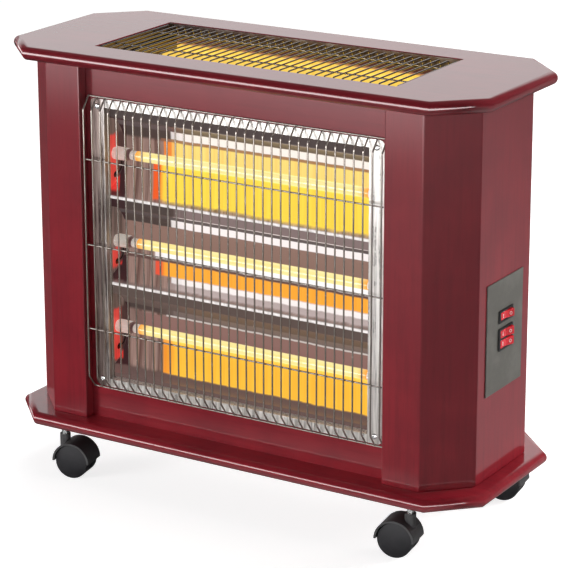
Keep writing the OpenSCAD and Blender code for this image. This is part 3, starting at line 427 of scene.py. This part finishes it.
def rocker_finish():
    """Clear red switch plastic with a faint painted glow of its colour, brighter in random patches
    as painted light inside.
    """
    f = Finish("rocker_red", Roughness=0.22, Specular_IOR_Level=0.5, Coat_Weight=0.5,
               Coat_Roughness=0.05, Emission_Strength=0.12)
    inner = f.noise(260, detail=3, rough=0.6)
    # Painted light: the brighter patches and the emitted colour.
    lit = f.mix(inner.ramp(0.35, 0.7), colour("c00c1c"), colour("e82434"))
    f.set(Base_Color=lit, Emission_Color=lit,
          Normal=f.bump(f.noise(1500, detail=2), 0.08, 0.0003))
    return f


def mark_finish():
    """Pale pink print of the switch marks, a little worn."""
    f = Finish("switch_mark", Roughness=0.5)
    worn = f.noise(1800, detail=3).ramp(0.45, 0.75)
    f.set(Base_Color=f.mix(worn * 0.5, colour("f4c4c4"), colour("e88a92")))
    return f


def sleeve_finish():
    """Heat-proof braided sleeve: two crossing sets of threads on the piece's own map."""
    f = Finish("cable_sleeve", Roughness=0.7, Specular_IOR_Level=0.3)
    u, v, _ = f.split(f.node("ShaderNodeUVMap", {"uv_map": "length"}))
    threads = ((u * 10 + v * 900) * pi).sine() * ((u * 10 - v * 900) * pi).sine()
    f.set(Base_Color=f.mix(threads.ramp(-0.5, 0.8), colour("141312"), colour("2e2a26")),
          Normal=f.bump(threads, 0.6, 0.0004))
    return f


lacquer_boards = lacquer_finish("lacquer_boards", "x")
lacquer_uprights = lacquer_finish("lacquer_uprights", "z")
liner_steel = polished_finish("liner_steel", "5a4c49", 0.30, metal=0.8)
guard_chrome = polished_finish("guard_chrome", "988f88", 0.15, dust=0.15, metal=0.45)
outlet_chrome = polished_finish("outlet_chrome", "a29c9a", 0.09, dust=0.15)
caster_zinc = polished_finish("caster_zinc", "cfd0d0", 0.22)
black_moulding = moulded_finish("black_moulding", "1d1d1e", 0.38)
hood_moulding = moulded_finish("hood_moulding", "3a393a", 0.42)
tyre_moulding = moulded_finish("tyre_moulding", "18171a", 0.46, gloss=0.25)
cream_moulding = moulded_finish("cream_moulding", "e0d8c4", 0.42)
plate_paint = moulded_finish("plate_paint", "5f5d58", 0.5, grain=2600)
flange_steel = flange_finish()
painted_steel = painted_steel_finish()
ceramic = ceramic_finish()
quartz = quartz_finish()
coil_glow = coil_finish()

# Painted reflections on each trough, one band on another: low, high, colour, colour at its left
# end, start
trough_finish = {
    "upper": reflector_finish("upper_trough", TUBES["upper"][1], [
        (62, 80, "d0ccca", "bcb8b4", WHOLE),
        (41, 51, "6c605e", "3c3433", -94),
        (51, 62, "443a39", "443a39", WHOLE),
        (33, 41, "584d4d", "40373a", WHOLE),
        (21.5, 33, "f6eeea", "dcd4d2", -94),
        (17.5, 21.5, "a8805e", "8c6454", -108),
        (-2, 17.5, "fbe184", "f28a3c", -104),
        (-43.3, -2, "ffe054", "f0602c", -119)], beads=(-46.2,), painted_shade_edge=-156, red=(-42, 16)),
    "middle": reflector_finish("middle_trough", TUBES["middle"][1], [
        (41.5, 60, "82706e", "4e403c", -94),
        (39, 41.5, "e0d4d0", "8c7c78", -92),
        (33, 39, "4e4646", "3c3230", WHOLE),
        (21.5, 33, "f6eeee", "e4dcda", -95),
        (-9, 21.5, "8c6f65", "7a5e54", WHOLE),
        (-20, -9, "fcf8f8", "f0e8e8", -119),
        (-22.5, -20, "604844", "5c4a46", WHOLE),
        (-35, -22.5, "ffb040", "e65640", -118),
        (-39.5, -35, "f8f0ee", "e8e0e0", -95),
        (-43, -39.5, "b8a8a6", "9c8884", -100),
        (-46, -43, "6c5c58", "3c3431", WHOLE)], beads=(-45.5, 61.8), painted_shade_edge=-156, red=(-32, -11)),
    "lower": reflector_finish("lower_trough", TUBES["lower"][1], [
        (26, 62, "5c4e49", "4c423e", WHOLE),
        (18, 26, "70625e", "584a46", -110),
        (15.5, 18, "c8c0bc", "c8c0bc", -104),
        (-3, 15.5, "8a6862", "765c56", -150),
        (-7, -3, "b08468", "9a7666", -125),
        (-46, -7, "ffc644", "f49c38", -109),
        (-80, -46, "64504c", "564a46", WHOLE)], beads=(62.5,), painted_shade_edge=-156, red=(-41, 16))}
# The tray's bands are painted reflections of the top tube too.
tray_finish = reflector_finish("tray_sheet", TUBES["top"][1], [
    (-30, 15, "ffd860", "e87040", -150),
    (15, 17, "b07850", "a06048", WHOLE),
    (17, 30, "50302a", "442620", WHOLE)])
end_plate_steel = end_plate_finish()
rocker_red = rocker_finish()
switch_mark = mark_finish()
cable_sleeve = sleeve_finish()

# ---------------------------------------------------------------- meshes from arrays


def grid_faces(rows, columns, round_rows=False, round_columns=False):
    """Four-sided faces of a grid whose point (r, c) is number r * columns + c, joined round
    where asked."""
    r = np.arange(rows if round_rows else rows - 1)[:, None]
    c = np.arange(columns if round_columns else columns - 1)[None, :]
    r2, c2 = (r + 1) % rows, (c + 1) % columns
    faces = np.stack([r * columns + c, r * columns + c2, r2 * columns + c2, r2 * columns + c], -1)
    return faces.reshape(-1, 4)


def make(name, shape, finish, replaced, body="cabinet", round_over=40):
    """A piece from a shape: points in millimetres, arrays of faces and a map for each point."""
    points, faces, uv = shape
    mesh = bpy.data.meshes.new(name)
    mesh.from_pydata((np.asarray(points, float).reshape(-1, 3) * MM).tolist(), [],
                     [face for part in faces for face in np.asarray(part).tolist()])
    corner = np.zeros(len(mesh.loops), np.int32)
    mesh.loops.foreach_get("vertex_index", corner)
    length = mesh.uv_layers.new(name="length")
    length.data.foreach_set("uv", np.asarray(uv, np.float32)[corner].ravel())
    return settle(name, mesh, finish, replaced, body, round_over)


def settle(name, mesh, finish, replaced, body, round_over):
    """Puts a mesh in the scene, smooth except at edges sharper than round_over degrees, as a
    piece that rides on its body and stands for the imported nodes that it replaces."""
    work = bmesh.new()
    work.from_mesh(mesh)
    bmesh.ops.recalc_face_normals(work, faces=work.faces)
    work.to_mesh(mesh)
    work.free()
    mesh.polygons.foreach_set("use_smooth", np.ones(len(mesh.polygons), bool))
    mesh.set_sharp_from_angle(angle=radians(round_over))
    mesh.materials.clear()
    mesh.materials.append(finish.owner)
    piece = bpy.data.objects.new(name, mesh)
    bpy.context.scene.collection.objects.link(piece)
    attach(piece, body)
    if replaced:
        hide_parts(*replaced)
    return piece


def tubes(paths, radius, sides, up):
    """Round tubes along paths of shape (n, k, 3).

    With t the path's direction, a is up less its part along t, made one long, and b = t x a.
    Ring point j is p + radius (a cos j + b sin j). A flat face closes each end. The map holds
    the part of the way round and the length along the path in metres.
    """
    p = np.asarray(paths, float)
    step = np.diff(p, axis=1)
    long = np.linalg.norm(step, axis=2)
    step /= long[..., None]
    t = np.concatenate([step[:, :1], step[:, :-1] + step[:, 1:], step[:, -1:]], 1)
    t /= np.linalg.norm(t, axis=2, keepdims=True)
    up = np.asarray(up, float)
    a = up - (t @ up)[..., None] * t
    a /= np.linalg.norm(a, axis=2, keepdims=True)
    b = np.cross(t, a)
    j = 2 * pi * np.arange(sides) / sides
    rings = p[:, :, None] + radius * (a[:, :, None] * np.cos(j)[None, None, :, None]
                                      + b[:, :, None] * np.sin(j)[None, None, :, None])
    n, k = p.shape[:2]
    walls = grid_faces(k, sides, round_columns=True)
    start = np.arange(n)[:, None, None] * k * sides
    first = np.arange(sides)[None, ::-1] + start[:, 0]
    last = np.arange(sides)[None, :] + start[:, 0] + (k - 1) * sides
    length = np.concatenate([np.zeros((n, 1)), np.cumsum(long, 1)], 1) * MM
    uv = np.stack(np.broadcast_arrays((j / (2 * pi))[None, None], length[:, :, None]), -1)
    faces = [(walls[None] + start).reshape(-1, 4), first, last]
    return rings.reshape(-1, 3), faces, uv.reshape(-1, 2)


def merged(*shapes):
    """Several shapes put together as one."""
    points, faces, uv, start = [], [], [], 0
    for p, f, u in shapes:
        points.append(p)
        faces += [np.asarray(face) + start for face in f]
        uv.append(u)
        start += len(p)
    return np.concatenate(points), faces, np.concatenate(uv)


def eased(corners, radius, steps):
    """A path whose inner corners become arcs.

    U and v point from a corner to its neighbours. The arc's middle lies on u + v, at radius /
    sin(half angle), and its points are (sin(turn - s) from + sin(s) to) / sin(turn) about it.
    """
    p = np.asarray(corners, float)
    u, v = p[:-2] - p[1:-1], p[2:] - p[1:-1]
    u, v = (w / np.linalg.norm(w, axis=1, keepdims=True) for w in (u, v))
    half = np.arccos(np.sum(u * v, 1))[:, None] / 2
    way = (u + v) / np.linalg.norm(u + v, axis=1, keepdims=True)
    middle = p[1:-1] + way * radius / np.sin(half)
    from_, to = (p[1:-1] + w * radius / np.tan(half) - middle for w in (u, v))
    turn = (pi - 2 * half)[:, None]
    s = turn * np.linspace(0, 1, steps + 1)[None, :, None]
    spread = np.sin(turn - s) * from_[:, None] + np.sin(s) * to[:, None]
    arc = middle[:, None] + spread / np.sin(turn)
    return np.concatenate([p[:1], arc.reshape(-1, p.shape[1]), p[-1:]])


def softened(corners, passes=3):
    """A path with its corners cut at a quarter and three quarters of each side, pass after
    pass, its ends kept."""
    p = np.asarray(corners, float)
    for _ in range(passes):
        cut = np.stack([0.75 * p[:-1] + 0.25 * p[1:], 0.25 * p[:-1] + 0.75 * p[1:]], 1)
        p = np.concatenate([p[:1], cut.reshape(-1, p.shape[1])[1:-1], p[-1:]])
    return p


def sheet_along_x(section, thick, half, stations=3):
    """A bent sheet from -half to half: its shown face follows section, points in Y and Z, and
    its other face lies thick to the left.

    At a corner between sides with normals m and n, the other face is (m + n) / (1 + m . n)
    times thick away.
    """
    p = np.asarray(section, float)
    side = np.diff(p, axis=0)
    side /= np.linalg.norm(side, axis=1, keepdims=True)
    normal = np.stack([-side[:, 1], side[:, 0]], 1)
    m, n = np.vstack([normal[:1], normal]), np.vstack([normal, normal[-1:]])
    back = p + thick * (m + n) / (1 + np.sum(m * n, 1, keepdims=True))
    loop = np.vstack([p, back[::-1]])
    x = np.linspace(-half, half, stations)
    points = np.concatenate([np.broadcast_to(x[:, None, None], (stations, len(loop), 1)),
                             np.broadcast_to(loop, (stations,) + loop.shape)], 2)
    walls = grid_faces(stations, len(loop), round_columns=True)
    k = np.arange(len(p) - 1)
    cap = np.stack([k, k + 1, 2 * len(p) - 2 - k, 2 * len(p) - 1 - k], 1)
    points = points.reshape(-1, 3)
    return points, [walls, cap, cap[:, ::-1] + (stations - 1) * len(loop)], points[:, :2] * MM


def turned_along_x(profile, centre, sides=48):
    """A ring-shaped body: profile point (x, r) goes round the X axis through centre, to
    (x, centre Y + r sin j, centre Z + r cos j)."""
    q = np.asarray(profile, float)
    j = 2 * pi * np.arange(sides) / sides
    points = np.stack(np.broadcast_arrays(q[:, None, 0], centre[0] + q[:, None, 1] * np.sin(j),
                                          centre[1] + q[:, None, 1] * np.cos(j)), -1)
    points = points.reshape(-1, 3)
    return points, [grid_faces(len(q), sides, True, True)], points[:, :2] * MM


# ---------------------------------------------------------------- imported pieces, edges eased


def whole(nodes, drop=None):
    """The nodes' triangles in one mesh: doubles merged, the faces whose normals drop picks left
    out, and flat neighbours joined."""
    work = bmesh.new()
    for node in nodes:
        work.from_mesh(frame["nodes"][node].data)
    bmesh.ops.remove_doubles(work, verts=work.verts, dist=2e-5)
    if drop:
        inner = [face for face in work.faces if drop(face.normal)]
        bmesh.ops.delete(work, geom=inner, context="FACES")
    bmesh.ops.dissolve_limit(work, angle_limit=radians(0.3), verts=work.verts, edges=work.edges)
    mesh = bpy.data.meshes.new(nodes[0])
    work.to_mesh(mesh)
    work.free()
    return mesh


def dressed(finish, *nodes, name=None, edge=0.0, steps=2, round_over=32, drop=None, corner=40):
    """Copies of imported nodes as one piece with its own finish. Where edge isn't 0, it rounds
    the edges sharper than corner degrees."""
    piece = settle(name or nodes[0] + "_finished", whole(nodes, drop), finish, nodes,
                   body_of[nodes[0]], round_over)
    if edge:
        bevel = piece.modifiers.new("eased_edges", "BEVEL")
        bevel.width, bevel.segments = edge * MM, steps
        bevel.limit_method, bevel.angle_limit = "ANGLE", radians(corner)
        bevel.harden_normals = False
    flat = piece.modifiers.new("flat_faces", "WEIGHTED_NORMAL")
    flat.keep_sharp, flat.weight = True, 100
    return piece


def mitre(normal):
    """True for the joint faces inside a column, at an odd multiple of 22.5 degrees."""
    turn = np.degrees(np.arctan2(normal.y, normal.x)) % 45
    return abs(normal.z) < 0.5 and abs(turn - 22.5) < 3


# Cabinet
dressed(lacquer_boards, "top_board", edge=0.6, round_over=40, corner=55)
dressed(lacquer_boards, "base_board", round_over=40)
boards = ("front_post", "front_corner", "side_board", "rear_corner")
for side in ("left", "right"):
    dressed(lacquer_uprights, *(side + "_" + board for board in boards), name=side + "_column",
            edge=1.2, steps=3, drop=mitre)
dressed(lacquer_boards, "front_panel", edge=0.5)
dressed(painted_steel, "back_panel", edge=0.25, steps=1)
dressed(black_moulding, "cord_gland", edge=0.6)

# Front frame, end plates and inner parts
dressed(flange_steel, "front_frame", edge=0.35)
for node in ("left_end_plate", "right_end_plate"):
    dressed(end_plate_steel, node, edge=0.2, steps=1)
for node in ("top_end_plates", "top_frame"):
    dressed(liner_steel, node, edge=0.2, steps=1)
dressed(ceramic, "ceramic_caps", edge=0.5)
dressed(cream_moulding, "terminal_block", edge=0.5)
dressed(black_moulding, "tip_over_switch", edge=0.6)
dressed(black_moulding, "thermal_cutout", edge=0.4)
dressed(caster_zinc, "screws", edge=0.15, steps=1, round_over=30)

# Switches
dressed(plate_paint, "switch_plate", edge=0.5)
for node in ("single_switch_case", "double_switch_case"):
    dressed(black_moulding, node, edge=0.5)
for node in ROCKERS:
    dressed(rocker_red, node, edge=0.5)

# Casters
dressed(caster_zinc, "caster_sockets", edge=0.3)
dressed(caster_zinc, "caster_stems", edge=0.4)
for corner in ("front_left", "front_right", "rear_left", "rear_right"):
    dressed(hood_moulding, corner + "_hood", edge=0.7)
    dressed(caster_zinc, corner + "_axle", edge=0.3)
    for wheel in ("_outer_wheel", "_inner_wheel"):
        dressed(tyre_moulding, corner + wheel, edge=0.5, corner=45)

# ---------------------------------------------------------------- wire guards


def wire_paths(section, across):
    """One path for each value of across, which is X, along section, points in Y and Z."""
    q = np.broadcast_to(section, (len(across),) + section.shape)
    x = np.broadcast_to(across[:, None, None], q.shape[:2] + (1,))
    return np.concatenate([x, q], 2)


def towards(start, end, way):
    """The point on the line from start to end that lies way from start."""
    start, end = np.asarray(start, float), np.asarray(end, float)
    return start + (end - start) * way / np.linalg.norm(end - start)


def guard(rims, bends, half, cross_places, pegs=()):
    """A guard of round wires from -half to half in X.

    Bent wires run from one rim wire to the other through the two bends, each given in Y and Z.
    Cross wires lie at cross_places, and straight pegs join their pairs of points.
    """
    first, last = (towards(rims[k], bends[k], WIRE / 2 + WIRE_GAP) for k in (0, 1))
    section = eased([first, bends[0], bends[1], last], WIRE_BEND, 6)
    across = np.linspace(-half, half, WIRE_COUNT)
    reach = half + WIRE / 2
    bars = [[[-reach, y, z], [reach, y, z]] for y, z in [*rims, *cross_places]]
    parts = [tubes(wire_paths(section, across), WIRE / 2, 12, (1, 0, 0)),
             tubes(bars, WIRE / 2, 12, (0, 0, 1))]
    if pegs:
        parts.append(tubes(pegs, WIRE / 2, 12, (1, 0, 0)))
    return merged(*parts)


behind = WIRE + WIRE_GAP
front_cross = [(FRONT_BEND_Y + behind, FRONT_CROSS_LOW + FRONT_CROSS_PITCH * k) for k in range(3)]
front_pegs = [[[x, PEG_FRONT, z], [x, PEG_BACK, z]]
              for x in (-FRONT_HALF, FRONT_HALF) for z in FRONT_RIMS]
make("front_guard_wires", guard([(FRONT_RIM_Y, z) for z in FRONT_RIMS],
                                [(FRONT_BEND_Y, z) for z in FRONT_BENDS],
                                FRONT_HALF, front_cross, front_pegs),
     guard_chrome, ["front_guard"], round_over=50)
make("top_guard_wires", guard([(s * TOP_RIM[0], TOP_RIM[1]) for s in (-1, 1)],
                              [(s * TOP_BEND[0], TOP_BEND[1]) for s in (-1, 1)],
                              TOP_HALF, [(s * TOP_CROSS_Y, TOP_BEND[1] - behind) for s in (-1, 1)]),
     outlet_chrome, ["top_guard"], round_over=50)

# ---------------------------------------------------------------- reflectors


def arc_radius(half, depth):
    """Radius of an arc from half its chord and its depth: (half^2 + depth^2) / (2 depth)."""
    return (half ** 2 + depth ** 2) / (2 * depth)


def lip(z, inward, beaded):
    """A sheet's edge at height z: a quarter of a round bead that stands out to the front, its
    points (LIP_Y - BEAD cos s, z + inward BEAD sin s), or just flat."""
    if not beaded:
        return np.array([(LIP_Y, z)])
    s = np.linspace(0.02, pi / 2, 7)
    return np.stack([LIP_Y - BEAD * np.cos(s), z + inward * BEAD * np.sin(s)], 1)


def trough_section(middle, low, high, beaded):
    """Lip, flat, arc about (centre, middle), flat, lip, from high to low.

    The arc's points are (centre + radius cos s, middle + tall sin s). Tall is the radius, or for
    the lower half what fits above the lower lip.
    """
    radius = arc_radius(TROUGH_HALF, TROUGH_DEPTH)
    centre = LIP_Y + TROUGH_DEPTH - radius
    s = np.linspace(-1, 1, 65) * np.arccos((LIP_Y - centre) / radius)
    tall = np.where(s < 0, min(radius, middle - low - BEAD), radius)
    arc = np.stack([centre + radius * np.cos(s), middle + tall * np.sin(s)], 1)
    return np.concatenate([lip(low, 1, beaded[0]), arc, lip(high, -1, beaded[1])[::-1]])[::-1]


def tray_section():
    """Rim, wall, arc under the top tube, wall, rim, from +Y to -Y.

    The arc's points are (middle + radius sin s, centre - radius cos s).
    """
    middle, _ = TUBES["top"]
    radius = arc_radius(TRAY_ARC_HALF, TRAY_ARC_DEPTH)
    centre = TRAY_FLOOR_Z - TRAY_ARC_DEPTH + radius
    s = np.linspace(-1, 1, 49) * np.arcsin(TRAY_ARC_HALF / radius)
    arc = np.stack([middle + radius * np.sin(s), centre - radius * np.cos(s)], 1)
    wall = np.array([(TRAY_RIM_Y, TRAY_RIM_Z), (TRAY_HALF_Y, TRAY_RIM_Z),
                     (TRAY_HALF_Y, TRAY_FLOOR_Z)])
    return np.concatenate([wall * (-1, 1), arc, wall[::-1]])[::-1]


for place, (low, high) in TROUGHS.items():
    section = trough_section(TUBES[place][1], low, high, (place != "lower", place != "upper"))
    make(place + "_trough_sheet", sheet_along_x(section, SHEET, BAY_HALF),
         trough_finish[place], [place + "_reflector"])
make("top_tray_sheet", sheet_along_x(tray_section(), SHEET, TRAY_HALF_X),
     tray_finish, ["top_reflector"])

# ---------------------------------------------------------------- quartz tubes and coils


def tube_profile():
    """A tube's wall cut lengthwise, as points (x, r) all round it, its four edges eased."""
    half, ease = TUBE_HALF, TUBE_EDGE
    return [(-half, TUBE_BORE + ease), (-half, TUBE_RADIUS - ease), (ease - half, TUBE_RADIUS),
            (half - ease, TUBE_RADIUS), (half, TUBE_RADIUS - ease), (half, TUBE_BORE + ease),
            (half - ease, TUBE_BORE), (ease - half, TUBE_BORE)]


def coil_path():
    """A helix along X, (x, COIL_RADIUS sin turn, COIL_RADIUS cos turn) with x in step with the
    turn, and a straight tail at each end."""
    turn = 2 * pi * np.arange(CURLS * CURL_STEPS + 1) / CURL_STEPS
    helix = np.stack([(2 * turn / turn[-1] - 1) * COIL_HALF,
                      COIL_RADIUS * np.sin(turn), COIL_RADIUS * np.cos(turn)], 1)
    end = COIL_HALF + COIL_TAIL
    return np.concatenate([[(-end, 0, COIL_RADIUS)], helix, [(end, 0, COIL_RADIUS)]])


for place, centre in TUBES.items():
    make(place + "_quartz_tube", turned_along_x(tube_profile(), centre), quartz,
         [place + "_tube"])
coils = np.stack([coil_path() + [0, *centre] for centre in TUBES.values()])
make("glowing_coils", tubes(coils, COIL_WIRE, 6, (1, 0.15, 0.1)), coil_glow, ["heating_coils"],
     round_over=70)

# ---------------------------------------------------------------- leads inside


def lead(corners, radius=LEAD, sides=10, up=(0, 1, 0)):
    """A sleeved lead along a path with softened corners."""
    return tubes([softened(corners)], radius, sides, up)


def cap_leads(s):
    """Leads from the ceramic caps on side s, -1 or 1, to the bundle that runs down beside them."""
    (y, _), (top_y, top_z) = TUBES["upper"], TUBES["top"]
    leads = []
    for place in ("upper", "middle", "lower"):
        z = TUBES[place][1]
        leads.append(lead([(s * CAP_X, y, z - CAP_UNDER), (s * CAP_X, y, z - 16),
                           (s * 185, y, z - 23), (s * 192, y, z - 27), (s * 200.5, y, z - 30)]))
    from_top = [(195.2, top_y, top_z), (200.2, top_y, top_z - 1), (LOOM_X, top_y, 480),
                (LOOM_X, -38, 402), (LOOM_X, y, LOOM_TOP + 8), (LOOM_X, y, LOOM_TOP)]
    leads.append(lead([(s * px, py, pz) for px, py, pz in from_top], up=(0.3, 0.9, 0.1)))
    return leads


def bundles():
    """The two bundles: down beside the troughs, then along the base to the terminal block."""
    y, _ = TUBES["upper"]
    down = [(LOOM_X, y, LOOM_TOP), (LOOM_X, y, LOOM_LOW + 10), (LOOM_X - 2, -52, LOOM_LOW),
            (LOOM_X - 4, -28, FLOOR_Z)]
    right = down + [(LOOM_X - 4, 26, FLOOR_Z), (185, 42, FLOOR_Z), (185, 53, FLOOR_Z)]
    left = [(-px, py, pz) for px, py, pz in down]
    left += [(4 - LOOM_X, 42, FLOOR_Z), (14 - LOOM_X, 57, FLOOR_Z), (30 - LOOM_X, 62, FLOOR_Z),
             (152, 62, FLOOR_Z)]
    return [lead(path, LOOM, 14, (1, 0.35, 0.6)) for path in (right, left)]


def switch_leads():
    """Three leads from the switches' backs, side by side down to the terminal block."""
    leads = []
    for k, z in enumerate(sorted(ROCKERS.values())):
        y, block_y = 8 * (k - 1), 57 + 5 * k
        leads.append(lead([(282.5, y, z), (278.5, y, z), (268.5, y, z - 8), (260.5, y, z - 30),
                           (260.5, y, 140), (220, 46 + 8 * k, 92), (LOOM_X, block_y, 88),
                           (198, block_y, 88)], up=(0.2, 1, 0.3)))
    return leads


make("sleeved_leads", merged(*cap_leads(-1), *cap_leads(1), *bundles(), *switch_leads()),
     cable_sleeve, ["wiring"], round_over=60)

# ---------------------------------------------------------------- switch marks


def ring_outline(sides=28):
    """The outer and inner circle of the ring, as points (across, up)."""
    j = 2 * pi * np.arange(sides) / sides
    return np.stack([np.stack([np.cos(j), np.sin(j)], 1) * r for r in (RING_OUTER, RING_INNER)])


def bar_outline():
    """The bar's outer corners, and the same drawn in to almost nothing in its middle."""
    corners = np.array([(-BAR_HALF, -BAR_TALL), (BAR_HALF, -BAR_TALL), (BAR_HALF, BAR_TALL),
                        (-BAR_HALF, BAR_TALL)])
    return np.stack([corners, corners * 0.02])


def mark_on(slope, outline, pivot_z):
    """A thin mark on the half of the rocker that slope, 1 or -1, names.

    A slope lies ROCKER_TIP less tan(TILT) times the way in from the rocker's end, out from the
    pivot. The mark's two skins lie just under and over it. Then it turns with the rocker at
    rest: (x cos TILT + y sin TILT, y cos TILT - x sin TILT).
    """
    along = slope * MARK_MIDDLE + outline[..., 0] * cos(TILT)
    out = ROCKER_TIP - (ROCKER_HALF - abs(along)) * tan(TILT)
    x, y = np.stack([out - MARK_SUNK, out + MARK_PROUD]), np.stack([along, along])
    z = np.broadcast_to(pivot_z + outline[..., 1], x.shape)
    x, y = x * cos(TILT) + y * sin(TILT) + PIVOT_X, y * cos(TILT) - x * sin(TILT)
    skins = np.stack([x, y, z], -1)
    loop = skins[[0, 1, 1, 0], [0, 0, 1, 1]]       # low outer, high outer, high inner, low inner
    sides = outline.shape[1]
    return loop.reshape(-1, 3), [grid_faces(4, sides, True, True)], np.zeros((4 * sides, 2))


for node, z in ROCKERS.items():
    marks = merged(mark_on(1, ring_outline(), z), mark_on(-1, bar_outline(), z))
    make(node + "_marks", marks, switch_mark, [], body=node, round_over=30)

# ---------------------------------------------------------------- floor, surroundings and lamps

WHITE_WALL = 12.0                         # strength of the studio's bright parts in reflections


def lay_floor():
    """White studio floor: it glows white to the eye, is dark with bright areas in reflections,
    and still darkens under the object."""
    half = 7.0                            # metres
    mesh = bpy.data.meshes.new("floor")
    mesh.from_pydata([(-half, -half, 0), (half, -half, 0), (half, half, 0), (-half, half, 0)],
                     [], [(0, 1, 2, 3)])
    f = Finish("floor_white", kind="ShaderNodeBsdfDiffuse", Color=(0.62, 0.62, 0.62, 1))
    eye, glossy, through = (f.node("ShaderNodeLightPath", output=k) for k in (0, 3, 6))
    x, y, _ = f.axes()
    # In reflections: bright from about 1.5 m in front, some light at the right, back and near
    strip = y.ramp(-1520, -2060) * 0.17 + y.ramp(-2150, -2800) * 0.80
    right = (x - 0.618 * y).ramp(-60, 330) * (0.014 + 0.022 * y.ramp(-350, -1400))
    back = y.ramp(-60, 160) * x.ramp(120, 340)
    near = y.ramp(-350, -300) * y.ramp(-100, -150) * abs(x).ramp(420, 330)
    glow = (strip + right + 0.018 * back + 0.035 * near).lower(1)
    dim, bright, white = (f.node("ShaderNodeEmission", None, {"Strength": strength})
                          for strength in (0.05, WHITE_WALL, 0.8))
    mirrored = f.node("ShaderNodeMixShader", None, {0: glow, 1: dim, 2: bright})
    lit = f.node("ShaderNodeAddShader", None, {0: f.shader, 1: white})
    shown = f.node("ShaderNodeMixShader", None, {0: eye.higher(through), 1: f.shader, 2: lit})
    f.show(f.node("ShaderNodeMixShader", None, {0: glossy * (1 - eye), 1: shown, 2: mirrored}))
    mesh.materials.append(f.owner)
    floor = bpy.data.objects.new("floor", mesh)
    bpy.context.scene.collection.objects.link(floor)


def hang_world():
    """White to the eye, a soft grey light on matt faces, and a dim studio with two bright walls
    in reflections."""
    world = bpy.data.worlds.new("studio")
    bpy.context.scene.world = world
    w = Finish("studio", owner=world, kind="ShaderNodeBackground")
    x, y, z = w.split(w.node("ShaderNodeTexCoord", output=0))
    # In reflections: a bright low band in front, and a paler one at the back left, higher up
    front = y.ramp(0.1, -0.2)
    rear = 0.005 + 0.083 * x.ramp(0.1, -0.25) * z.ramp(0.62, 0.42)
    glow = front * z.ramp(0.32, 0.08) + (1 - front) * rear
    dim, bright, soft, white = (
        w.node("ShaderNodeBackground", None, {"Color": (1, 1, 1, 1), "Strength": strength})
        for strength in (0.04, WHITE_WALL, 0.12, 1.0))
    mirrored = w.node("ShaderNodeMixShader", None, {0: glow, 1: dim, 2: bright})
    eye, glossy = (w.node("ShaderNodeLightPath", output=k) for k in (0, 3))
    unseen = w.node("ShaderNodeMixShader", None, {0: glossy, 1: soft, 2: mirrored})
    w.show(w.node("ShaderNodeMixShader", None, {0: eye, 1: unseen, 2: white}))


def hang_lamp(name, place, aim, size, power):
    """Square lamp at place, facing aim, size metres wide and power watts strong."""
    data = bpy.data.lights.new(name, "AREA")
    data.size, data.energy = size, power
    lamp = bpy.data.objects.new(name, data)
    lamp.visible_glossy = False
    lamp.location = place
    lamp.rotation_euler = (Vector(aim) - Vector(place)).to_track_quat("-Z", "Y").to_euler()
    bpy.context.scene.collection.objects.link(lamp)


lay_floor()
hang_world()
hang_lamp("key_front", place=(-2.0, -2.9, 0.75), aim=(0, 0, 0.2), size=1.4, power=61)
hang_lamp("rear_right", place=(2.2, 2.4, 1.3), aim=(0, 0, 0.3), size=1.4, power=130)
hang_lamp("overhead", place=(0.0, 0.6, 2.7), aim=(0, 0, 0.4), size=1.8, power=30)
